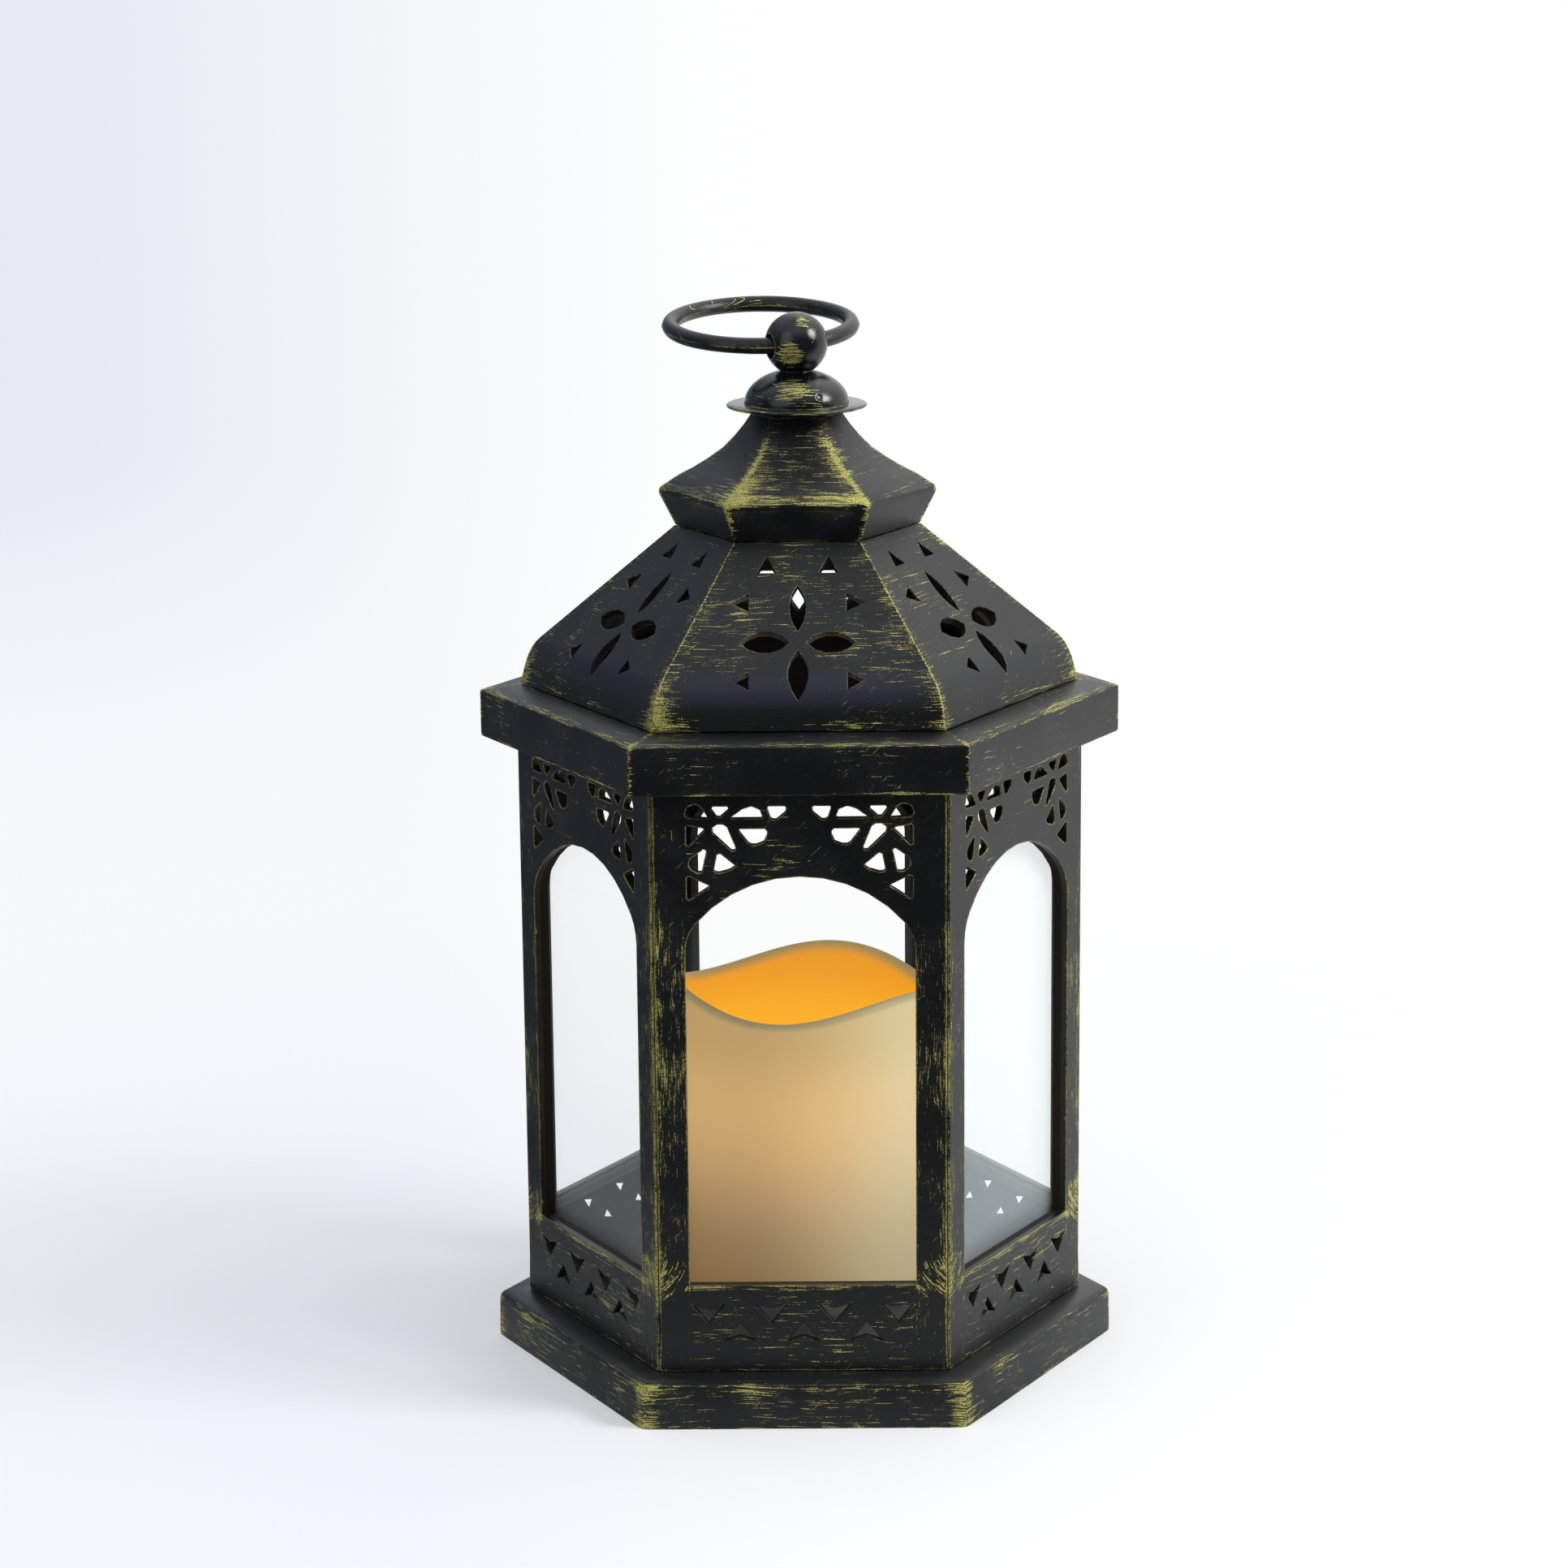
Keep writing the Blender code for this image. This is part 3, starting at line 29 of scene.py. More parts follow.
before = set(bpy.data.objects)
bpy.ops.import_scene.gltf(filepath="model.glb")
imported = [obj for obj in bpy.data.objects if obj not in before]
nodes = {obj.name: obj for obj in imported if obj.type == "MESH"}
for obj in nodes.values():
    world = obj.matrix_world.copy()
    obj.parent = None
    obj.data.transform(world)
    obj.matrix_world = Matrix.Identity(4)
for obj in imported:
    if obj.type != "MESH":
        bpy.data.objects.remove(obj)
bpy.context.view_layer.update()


# Node arithmetic.

class Field:
    """A value in a node tree that can be added, multiplied and so on."""

    def __init__(self, tree, socket):
        self.tree = tree
        self.socket = socket

    def __add__(self, other):
        return self.tree.math("ADD", self, other)

    def __radd__(self, other):
        return self.tree.math("ADD", other, self)

    def __sub__(self, other):
        return self.tree.math("SUBTRACT", self, other)

    def __rsub__(self, other):
        return self.tree.math("SUBTRACT", other, self)

    def __mul__(self, other):
        return self.tree.math("MULTIPLY", self, other)

    def __rmul__(self, other):
        return self.tree.math("MULTIPLY", other, self)

    def __truediv__(self, other):
        return self.tree.math("DIVIDE", self, other)


class Tree:
    """Short calls for the nodes of a material or world."""

    def __init__(self, tree):
        self.tree = tree

    def add(self, kind, **settings):
        node = self.tree.nodes.new(kind)
        for key, value in settings.items():
            setattr(node, key, value)
        return node

    def link(self, value, socket):
        """Joins a field or socket to a socket, or sets a number or colour on it."""
        if isinstance(value, Field):
            self.tree.links.new(value.socket, socket)
        elif isinstance(value, bpy.types.NodeSocket):
            self.tree.links.new(value, socket)
        elif isinstance(value, tuple) and len(value) == 3:
            socket.default_value = (*value, 1.0)
        else:
            socket.default_value = value

    def math(self, operation, *values):
        node = self.add("ShaderNodeMath", operation=operation)
        for value, socket in zip(values, node.inputs):
            self.link(value, socket)
        return Field(self, node.outputs[0])

    def size(self, value):
        return self.math("ABSOLUTE", value)

    def greater(self, first, second):
        return self.math("MAXIMUM", first, second)

    def hypotenuse(self, first, second):
        return self.math("SQRT", first * first + second * second)

    def vector(self, x, y, z):
        node = self.add("ShaderNodeCombineXYZ")
        for value, socket in zip((x, y, z), node.inputs):
            self.link(value, socket)
        return node.outputs[0]

    def split(self, socket):
        node = self.add("ShaderNodeSeparateXYZ")
        self.link(socket, node.inputs[0])
        return [Field(self, output) for output in node.outputs]

    def dot(self, first, second):
        """Dot product of a socket with a socket or a fixed direction."""
        node = self.add("ShaderNodeVectorMath", operation="DOT_PRODUCT")
        self.link(first, node.inputs[0])
        if isinstance(second, tuple):
            node.inputs[1].default_value = second
        else:
            self.link(second, node.inputs[1])
        return Field(self, node.outputs["Value"])

    def ramp(self, value, low, high, out_low=0.0, out_high=1.0):
        """Smooth step from low to high, also with low above high."""
        node = self.add("ShaderNodeMapRange", interpolation_type="SMOOTHSTEP")
        for number, socket in zip((value, low, high, out_low, out_high), node.inputs):
            self.link(number, socket)
        return Field(self, node.outputs[0])

    def near(self, value, centre, far, close):
        """One where the value is within close of the centre, nothing beyond far."""
        return self.ramp(self.size(value - centre), far, close)

    def blob(self, where, centre, radius):
        """One at a point, falling to nothing at the radius."""
        node = self.add("ShaderNodeVectorMath", operation="DISTANCE")
        self.link(where, node.inputs[0])
        node.inputs[1].default_value = centre
        return self.ramp(Field(self, node.outputs["Value"]), radius, radius * 0.25)

    def noise(self, where, scale, detail=2.0, roughness=0.5):
        node = self.add("ShaderNodeTexNoise")
        self.link(where, node.inputs["Vector"])
        node.inputs["Scale"].default_value = scale
        node.inputs["Detail"].default_value = detail
        node.inputs["Roughness"].default_value = roughness
        return Field(self, node.outputs[0])

    def mix(self, share, first, second):
        """Colour mix; first and second are RGB tuples or sockets."""
        node = self.add("ShaderNodeMix", data_type="RGBA")
        self.link(share, node.inputs[0])
        self.link(first, node.inputs[6])
        self.link(second, node.inputs[7])
        return node.outputs[2]

    def over(self, colour, *layers):
        """A colour with others laid over it in turn, each with its share."""
        for share, above in layers:
            colour = self.mix(share, colour, above)
        return colour

    def blend(self, share, first, second):
        """Mix of two shaders."""
        node = self.add("ShaderNodeMixShader")
        for value, socket in zip((share, first, second), node.inputs):
            self.link(value, socket)
        return node.outputs[0]


class Shader(Tree):
    """A material with one Principled shader."""

    def __init__(self, name):
        self.material = bpy.data.materials.new(name)
        self.material.use_nodes = True
        super().__init__(self.material.node_tree)
        self.principled = self.tree.nodes["Principled BSDF"]
        self.output = self.tree.nodes["Material Output"]

    def set(self, **values):
        for key, value in values.items():
            self.link(value, self.principled.inputs[key.replace("_", " ")])

    def bump(self, height, strength, distance):
        node = self.add("ShaderNodeBump")
        node.inputs["Strength"].default_value = strength
        node.inputs["Distance"].default_value = distance
        self.link(height, node.inputs["Height"])
        self.link(node.outputs[0], self.principled.inputs["Normal"])
        return node

    def place(self):
        """Object coordinates in millimetres, as a socket and as x, y, z."""
        coordinates = self.add("ShaderNodeTexCoord")
        scaled = self.add("ShaderNodeVectorMath", operation="SCALE")
        self.link(coordinates.outputs["Object"], scaled.inputs[0])
        scaled.inputs["Scale"].default_value = 1 / MM
        return scaled.outputs[0], self.split(scaled.outputs[0])

    def hexagon(self, x, y):
        """Side number, distance from the axis to the face's plane and place along the face."""
        angle = self.math("ARCTAN2", y, x) * (180 / math.pi) + 360.0
        side = self.math("FLOOR", angle / 60.0)
        turn = (angle - side * 60.0 - 30.0) * (math.pi / 180)
        radius = self.hypotenuse(x, y)
        return side, radius * self.math("COSINE", turn), radius * self.math("SINE", turn)


# Paint of the plastic shell. Lengths here are in millimetres, heights are above the floor.

CHARCOAL = (0.0015, 0.0017, 0.0024)
CHARCOAL_WORN = (0.0058, 0.0064, 0.0080)
# Painted shade of the arrowheads' hole walls and the front walls' low part.
CHARCOAL_SHADED = (0.0006, 0.0007, 0.0010)
# Painted shade of the roof's foot.
CHARCOAL_FOOT_SHADE = (0.0006, 0.0006, 0.0010)
# Painted light: lighter greys of the plinth's upward-facing deck and of its inner floor.
CHARCOAL_LIT_DECK = (0.0115, 0.0120, 0.0135)
CHARCOAL_LIT_FLOOR = (0.045, 0.048, 0.054)
# Painted violet sheen of the roof's shoulder.
VIOLET_SHEEN = (0.0062, 0.0058, 0.0180)
GOLD = (0.56, 0.515, 0.150)
GOLD_DARK = (0.17, 0.145, 0.040)
RAW = (0.0018, 0.0014, 0.0012)
RAW_LIGHT = (0.0065, 0.0042, 0.0032)

FRONT_SIDE = 4.0         # number of the hexagon's side that faces the photograph's camera
WALL_FACE = 68.24        # from the axis to the wall's outer face
WINDOW_REACH = 31.0      # from a wall's middle to its window's edge, where the post begins
WALL_FOOT = 13.8
ARROWS_Z = 27.0
SILL_Z = 37.2
SWIRL = (46.0, 48.0)     # point that the brush turned round at a wall's low corner
WINDOW_MIDDLE = 88.0
CROWN_EDGE = 246.3
ROOF_FOOT = 192.4
ROOF_SHOULDER = 200.0
LEDGE_EDGE = 188.9
FASCIA_EDGE = 176.0
PLINTH_EDGE = 10.9
BALL_FOOT = 277.0
EDGE_WIDTH = 0.6         # zone along a sharp edge that takes gold


class Paint(Shader):
    """Charcoal paint dry-brushed with olive gold; each kind of piece says where the brush went.

    Brush marks are noise drawn out along the stroke, in units of its own spread, and gold shows
    where they rise above a bar that drops near edges and corners."""

    kind = ""
    slope = 0.85             # fall of a stroke's level with the distance from the axis
    rim_start = -0.1         # the lower, the more gold on sharp edges
    smooth = 0.40            # roughness of the bare paint
    specular = 0.45

    def __init__(self):
        super().__init__(f"{self.kind}_paint")
        self.where, (self.x, self.y, self.z) = self.place()
        self.side, self.apothem, self.along = self.hexagon(self.x, self.y)
        self.reach = self.size(self.along)
        self.hip = self.apothem * TAN30 - self.reach
        self.front = self.math("COMPARE", self.side, FRONT_SIDE, 0.1)
        self.bevel = self.add("ShaderNodeBevel", samples=4)
        self.bevel.inputs["Radius"].default_value = EDGE_WIDTH * MM
        self.geometry = self.add("ShaderNodeNewGeometry")
        self.make_marks()
        gold = self.keep_off(self.make_gold())
        raw = self.bare()
        if raw is not None:
            gold = gold * (1.0 - raw)
        self.make_surface(gold, raw)

    def marks(self, where, scale, detail, roughness, gain):
        """Noise round nought in units of about its own spread."""
        return (self.noise(where, scale, detail, roughness) - 0.5) * gain

    def drawn(self, x, y, offset, roughness=0.65):
        """Marks in stretched coordinates, different on each side of the hexagon."""
        return self.marks(self.vector(x, y, self.seed + offset), 1.0, 2.0, roughness, 9.0)

    def make_marks(self):
        self.seed = self.side * 7.31
        self.drift = self.marks(self.where, 0.03, 1.0, 0.5, 4.0)
        level = self.z - self.apothem * self.slope + self.drift
        self.long = self.drawn(self.along * 0.055, level * 2.5, 0.0)
        self.short = self.drawn(self.along * 0.17, level * 4.0, 11.0)
        self.grain = self.marks(self.where, 2.6, 2.0, 0.75, 8.0)
        self.patches = self.marks(self.where, 0.055, 3.0, 0.6, 8.0)
        fall = self.z - (self.apothem - WALL_FACE) * 0.85
        downward, upward = self.along + fall, self.along - fall
        self.scratches = self.drawn(downward * 0.11, upward * 2.6, 31.0, 0.5)
        self.fringe_strokes = self.short * 0.80 + self.grain * 0.40

    def make_gold(self):
        """Share of gold from the brush, hair scratches, dots and rubbed edges."""
        strokes = self.long * 0.60 + self.short * 0.60 + self.grain * 0.26
        strokes, bar = self.brush(strokes, 1.62 - 0.45 * self.patches)
        gold = self.ramp(strokes - bar, 0.03, 0.27)
        hair = self.ramp(self.scratches, 1.9, 2.2) * self.ramp(self.patches, -0.4, 0.8)
        dots = self.ramp(self.grain, 2.0, 2.4) * 0.75
        turn = self.dot(self.bevel.outputs[0], self.geometry.outputs["True Normal"])
        rubbed = self.short * 0.5 + self.patches * 0.7 + self.grain * 0.3
        rim = self.ramp(turn, 0.99, 0.90) * self.ramp(rubbed, self.rim_start, self.rim_start + 1.2)
        gold = self.greater(self.greater(gold, hair), self.greater(dots, self.spare(rim)))
        return gold * self.ramp(self.grain, -1.7, 0.4, 0.30, 1.0)

    def fringed(self, strokes, share):
        """Strokes that turn into a fringe of short ones."""
        return strokes * (1.0 - share) + self.fringe_strokes * share

    def brush(self, strokes, bar):
        """Strokes and bar of this kind of piece."""
        return strokes, bar

    def spare(self, rim):
        """Gold of the sharp edges, less where the brush missed them."""
        return rim

    def keep_off(self, gold):
        """Gold, less where the brush never reached."""
        return gold

    def bare(self):
        """Share of raw plastic: the faces that look at the axis."""
        outward = self.dot(self.geometry.outputs["Normal"], self.vector(self.x, self.y, 0.0))
        return self.ramp(outward, -2.0, -14.0)

    def ground(self, base):
        """Colour of the paint under the gold, with the painted shade and painted light that some
        kinds of piece add.
        """
        return base

    def wear(self, rough):
        """Roughness of the painted surface."""
        return rough

    def relief(self, height):
        """Height of the surface."""
        return height

    def make_surface(self, gold, raw):
        worn = self.ramp(self.patches + self.grain * 0.5, -1.0, 1.6)
        base = self.ground(self.mix(worn, CHARCOAL, CHARCOAL_WORN))
        thick = self.ramp(self.grain * 0.6 + self.short * 0.5, -1.1, 0.6)
        colour = self.mix(gold, base, self.mix(thick, GOLD_DARK, GOLD))
        rough = self.smooth + 0.02 * self.grain + gold * 0.12
        if raw is not None:
            plastic = self.mix(self.ramp(self.grain, -1.5, 1.5), RAW, RAW_LIGHT)
            colour = self.mix(raw, colour, plastic)
            rough = rough + raw * 0.42
        self.set(Base_Color=colour, Roughness=self.wear(rough), Metallic=gold * 0.65)
        self.set(Specular_IOR_Level=self.specular)
        height = gold * 0.6 + self.grain * 0.06 + self.long * 0.03
        bumped = self.bump(self.relief(height), 0.35, 0.00025)
        self.link(self.bevel.outputs[0], bumped.inputs["Normal"])


class WallPaint(Paint):
    kind = "wall"
    rim_start = -0.9

    def brush(self, strokes, bar):
        z, reach, along = self.z, self.reach, self.along
        # The posts are brushed upright, the rest along the wall.
        post = self.ramp(reach, WINDOW_REACH - 1.5, WINDOW_REACH)
        upright = self.drawn((along + self.drift * 0.4) * 4.0, z * 0.15, 23.0, 0.7)
        strokes = strokes * (1.0 - post) + (upright * 0.90 + self.grain * 0.35) * post

        # At the low corners the brush turned round a point.
        across, above = reach - SWIRL[0], z - SWIRL[1]
        turned = self.math("ARCTAN2", above, across) * 3.0 + self.math("SIGN", along) * 9.0
        swirl = self.drawn(self.hypotenuse(across, above) * 2.1, turned, 41.0)
        low_corner = self.near(z, 40.0, 10.0, 3.0) * self.ramp(reach, 29.5, 33.0)
        strokes = strokes * (1.0 - low_corner) + (swirl * 0.85 + self.grain * 0.3) * low_corner

        # Edges, corners, posts and rails take more gold, the arch and the front posts' foot less.
        corner = self.ramp(self.hip, 0.9, 0.1) * 1.20 + self.ramp(self.hip, 3.8, 0.8) * 0.62
        inner = self.near(reach, WINDOW_REACH, 0.9, 0.2) * self.ramp(z, 147.0, 140.0)
        sill = self.near(z, SILL_Z, 1.2, 0.3) * self.ramp(reach, WINDOW_REACH + 2.0, WINDOW_REACH)
        foot = self.ramp(z, WALL_FOOT + 0.8, WALL_FOOT)
        high = self.ramp(z, 128.0, 150.0)
        middle = self.near(z, WINDOW_MIDDLE, 60.0, 15.0) * post
        rail = self.ramp(z, 38.0, 35.0) * (1.0 - post)
        below_middle = post * self.front * self.ramp(z, 80.0, 62.0) * (1.0 - low_corner)
        right_corner = self.ramp(self.x, 74.0, 77.0)
        self.arrows = self.near(z, ARROWS_Z, 10.0, 6.0) * self.ramp(reach, 33.0, 28.0)
        bar = bar - corner - 0.35 * inner - 1.25 * sill - 0.90 * low_corner - 0.9 * foot
        bar = bar - 0.25 * self.arrows + high * (0.12 + 0.33 * post)
        bar = bar - 0.35 * middle * (0.4 + 0.6 * self.front) - 0.1 * post
        bar = bar - rail * (0.33 - 0.12 * self.front - 0.25 * self.patches)
        return strokes, bar + 0.35 * below_middle - 0.30 * right_corner

    def spare(self, rim):
        return rim * (1.0 - self.arrows)

    def keep_off(self, gold):
        return gold * self.ramp(self.apothem, 67.3, 67.9)

    def bare(self):
        return self.ramp(self.apothem, 66.6, 66.3)

    def ground(self, base):
        # Painted shade: the arrowheads' hole walls, and the front wall darker towards the bottom,
        # are mixed towards the shaded charcoal.
        self.shaded_holes = self.arrows * self.ramp(self.apothem, WALL_FACE - 0.04, WALL_FACE - 0.14)
        low = self.ramp(self.z, 80.0, 30.0) * self.front * 0.7
        return self.mix(self.greater(low, self.shaded_holes), base, CHARCOAL_SHADED)

    def wear(self, rough):
        return rough + self.shaded_holes * 0.45


class CrownPaint(Paint):
    kind = "crown"

    def brush(self, strokes, bar):
        z, hip = self.z, self.hip
        fringe = self.ramp(hip, 6.5, 1.0)
        crest = self.ramp(hip, 1.8, 0.3) * self.ramp(z, 262.5, 257.0)
        bell = self.ramp(z, 243.4, 245.0) * self.ramp(z, 263.0, 252.0, 0.3, 1.0)
        edge = self.near(z, CROWN_EDGE, 2.0, 0.3)
        lip = self.ramp(z, 244.2, 243.2) * self.ramp(hip, 1.0, 3.0)
        bar = bar - 0.45 * fringe - 1.2 * crest - bell * (0.25 + 0.50 * self.front)
        bar = bar - (0.45 + 0.6 * self.front) * edge - 0.2 * fringe * bell + 0.9 * lip
        return self.fringed(strokes, fringe), bar


class RoofPaint(Paint):
    kind = "roof"
    rim_start = 0.0

    def brush(self, strokes, bar):
        fringe = self.ramp(self.hip, 7.0, 0.5)
        seam = self.ramp(self.hip, 0.55, 0.1)
        foot = self.near(self.z, ROOF_FOOT, 1.2, 0.3)
        lower = self.ramp(self.z, 212.0, 194.0)
        quiet = self.near(self.z, ROOF_SHOULDER, 6.0, 2.0) * (1.0 - fringe)
        top = self.ramp(self.z, 214.0, 226.0)
        bar = bar - (0.45 + 0.75 * lower) * fringe - 1.1 * seam - 0.5 * foot - 0.18
        return self.fringed(strokes, fringe), bar + 0.5 * quiet - 0.2 * top

    def keep_off(self, gold):
        """The shell's underside: depth below the slanting outer face, above the shoulder."""
        depth = 190.1 - (self.apothem * 0.6898 + self.z * 0.7240)
        return gold * self.ramp(depth * self.ramp(self.z, 203.5, 205.0), 1.0, 0.4)

    def ground(self, base):
        # Painted light and shade: a violet sheen painted on the shoulder, strongest on the front
        # side, and painted shade darkening the roof's foot.
        shoulder = self.ramp(self.z, 207.0, 202.5) * self.ramp(self.z, 195.0, 198.5)
        sheen = shoulder * self.ramp(self.reach, 40.0, 22.0) * (0.3 + 0.7 * self.front)
        foot = self.ramp(self.z, 198.5, 194.5) * 0.75
        return self.over(base, (sheen, VIOLET_SHEEN), (foot, CHARCOAL_FOOT_SHADE))


class CornicePaint(Paint):
    kind = "cornice"

    def brush(self, strokes, bar):
        upper = self.near(self.z, LEDGE_EDGE, 0.7, 0.2)
        lower = self.near(self.z, FASCIA_EDGE, 1.0, 0.2)
        corner = self.ramp(self.hip, 1.6, 0.2)
        return strokes, bar + 0.1 - 1.2 * upper - 1.2 * lower - 1.3 * corner


class PlinthPaint(Paint):
    kind = "plinth"

    def brush(self, strokes, bar):
        upper = self.near(self.z, PLINTH_EDGE, 1.9, 0.4)
        lower = self.ramp(self.z, 1.2, 0.2)
        corner = self.ramp(self.hip, 7.0, 1.0)
        self.deck = self.ramp(self.z, 12.2, 12.8)
        bar = bar - 0.36 - 0.42 * upper - (1.15 - 0.7 * self.deck) * corner
        return self.fringed(strokes, corner * 0.6), bar - 0.6 * lower + 0.85 * self.deck

    def ground(self, base):
        # Painted light: the upward-facing deck is painted a lighter grey, and the inner floor
        # behind the front arrowheads a light grey.
        lit_inner_floor = self.ramp(self.z, 16.5, 17.5) * self.ramp(self.y, -24.0, -31.0)
        return self.over(base, (self.deck * 0.6, CHARCOAL_LIT_DECK), (lit_inner_floor, CHARCOAL_LIT_FLOOR))


class FinialPaint(Paint):
    kind = "finial"
    slope = 0.3
    smooth = 0.11
    specular = 0.55

    def brush(self, strokes, bar):
        ball = self.ramp(self.z, BALL_FOOT, BALL_FOOT + 0.6)
        disc_rim = self.ramp(self.hypotenuse(self.x, self.y), 18.2, 19.1)
        bar = bar + 0.9 * ball
        for centre, radius, weight in (
            ((-1.6, -7.9, 281.9), 6.4, 2.5),
            ((2.0, -4.9, 291.2), 4.0, 1.9),
            ((-1.5, -11.5, 273.0), 7.5, 1.35),
        ):
            bar = bar - weight * self.blob(self.where, centre, radius)
        return strokes, bar - 1.2 * disc_rim

    def bare(self):
        return None

    def relief(self, height):
        """A small round dent with a raised edge in the dome."""
        dent = (6.1, -12.1, 271.3)
        edge = self.blob(self.where, dent, 1.6) - self.blob(self.where, dent, 1.25) * 2.6
        return height + edge * 2.0


class RingPaint(Paint):
    kind = "ring"
    smooth = 0.32

    def brush(self, strokes, bar):
        far_side = self.blob(self.where, (-20.0, 44.0, 291.0), 14.0)
        return strokes, bar + 0.25 - 1.1 * far_side

    def bare(self):
        return None


# The other materials.

CANDLE_R = 37.5
RIM_Z = 104.2
WELL_Z = 80.0
RIM_WAVES = ((3, 75.1, 2.5), (2, 27.9, 0.55))    # crests, heading of one in degrees, height
MIRRORED_BLUE = (0.72, 0.84, 1.0)


def clear_pane():
    s = Shader("pane_clear")
    where, (x, y, z) = s.place()
    dust = s.ramp(s.noise(where, 0.9, 1.0, 0.6), 0.76, 0.84)
    haze = s.noise(where, 0.03)
    # Painted reflection: a white veil that grows at grazing angles, painted stronger on the
    # front-right pane.
    gloss = s.math("POWER", s.add("ShaderNodeLayerWeight").outputs["Facing"], 3.0)
    reflection_side = s.ramp(x, 30.0, 45.0) * s.ramp(y, 5.0, -10.0)
    s.set(Base_Color=s.mix(dust, (0.82, 0.90, 0.93), (0.87, 0.90, 0.91)))
    s.set(Roughness=0.06 + 0.1 * haze)
    s.set(Alpha=0.010 + 0.008 * haze + 0.08 * dust + (0.30 + 0.58 * reflection_side) * gloss)
    return s.material


def wax():
    """Ivory wax lit from its well, with that light painted in: emission paints its glow, amber
    inside; painted light makes it paler to the right, painted shade darker to the left and dark at
    the foot.
    """
    s = Shader("candle_wax")
    where, (x, y, z) = s.place()
    soft = s.noise(where, 0.05)
    grain = s.noise(where, 0.7, 3.0, 0.6)
    heading = s.math("ARCTAN2", y, x)
    wave = 0.0
    for crests, crest, height in RIM_WAVES:
        phase = heading * float(crests) - math.radians(crests * crest)
        wave = wave + s.math("COSINE", phase) * height
    below_rim = RIM_Z + wave * s.ramp(z, 86.0, 104.0) - z
    # Masks of the painted light and shade: the glow changes with height from the middle up,
    # painted shade covers the foot and the left, painted light the right.
    middle = s.ramp(z + 5.0 * (soft - 0.5), 30.0, 74.0)
    upper = s.ramp(z, 78.0, 98.0)
    foot = s.ramp(z + (CANDLE_R - s.size(y)) * 0.30, 28.0, 25.0)
    inside = s.ramp(s.hypotenuse(x, y), 36.2, 35.4) * s.ramp(z, 78.0, 82.0)
    rim = s.ramp(below_rim, 2.6, 0.6)
    left = s.ramp(x, 24.0, -36.0)
    right = s.ramp(x, -2.0, 34.0)
    edge_of_well = s.ramp(below_rim, 3.8, 0.0) * s.ramp(y, -5.0, 20.0)
    # Base colour with the painted light and shade laid over: orange higher up, darker to the left,
    # paler to the right, greyer at the rim and grey at the foot.
    outer = s.over(
        (0.375, 0.265, 0.140),
        (middle, (0.510, 0.305, 0.120)),
        (upper * 0.8, (0.335, 0.235, 0.100)),
        (left * 0.38, (0.30, 0.150, 0.045)),
        (right * 0.65, (0.47, 0.41, 0.250)),
        (rim * 0.7, (0.230, 0.205, 0.120)),
        (foot, (0.110, 0.110, 0.108)),
    )
    well = s.mix(edge_of_well, (0.06, 0.02, 0.0), (0.36, 0.30, 0.13))
    # Painted glow: emission that stands in for the light through the wall, with the same painted
    # light and shade.
    glow = s.over(
        (0.215, 0.150, 0.070),
        (middle, (0.335, 0.225, 0.090)),
        (left * (1.0 - middle), (0.06, 0.03, 0.014)),
        (left * 0.35, (0.32, 0.180, 0.040)),
        (right * 0.5, (0.235, 0.230, 0.142)),
        (upper * 0.5, (0.24, 0.185, 0.060)),
        (left * upper * 0.3, (0.26, 0.14, 0.015)),
        (rim * 0.7, (0.09, 0.08, 0.030)),
        (foot, (0.0125, 0.0125, 0.0120)),
    )
    # Painted amber glow of the well's inside, paler at the back of its edge.
    hot = s.over(
        (0.93, 0.415, 0.001),
        (s.ramp(z, 82.0, 103.0), (0.78, 0.300, 0.001)),
        (edge_of_well, (0.20, 0.135, 0.035)),
    )
    s.set(Base_Color=s.mix(inside, outer, well), Roughness=0.42 + 0.15 * grain)
    s.set(Emission_Color=s.mix(inside, glow, hot), Emission_Strength=1.0)
    s.set(Specular_IOR_Level=0.30)
    s.bump(grain * 0.5 + soft * 0.5, 0.15, 0.0005)
    return s.material


def plain(name, colour, roughness, metallic=0.0, grain_scale=0.8, depth=0.2):
    """Moulded plastic or metal with slight colour variation and grain."""
    s = Shader(name)
    where, _ = s.place()
    grain = s.noise(where, grain_scale, 3.0, 0.6)
    broad = s.noise(where, 0.08)
    darker = tuple(channel * 0.78 for channel in colour)
    s.set(Base_Color=s.mix(broad * 0.7 + grain * 0.3, darker, colour))
    s.set(Roughness=roughness + 0.14 * (grain - 0.5), Metallic=metallic)
    s.bump(grain, depth, 0.0002)
    return s.material


def glowing_lamp():
    s = Shader("lamp_clear")
    s.set(Base_Color=(1.0, 0.62, 0.25), Roughness=0.2)
    s.set(Emission_Color=(1.0, 0.45, 0.08), Emission_Strength=1.5)
    return s.material


# Shading of the carried nodes.

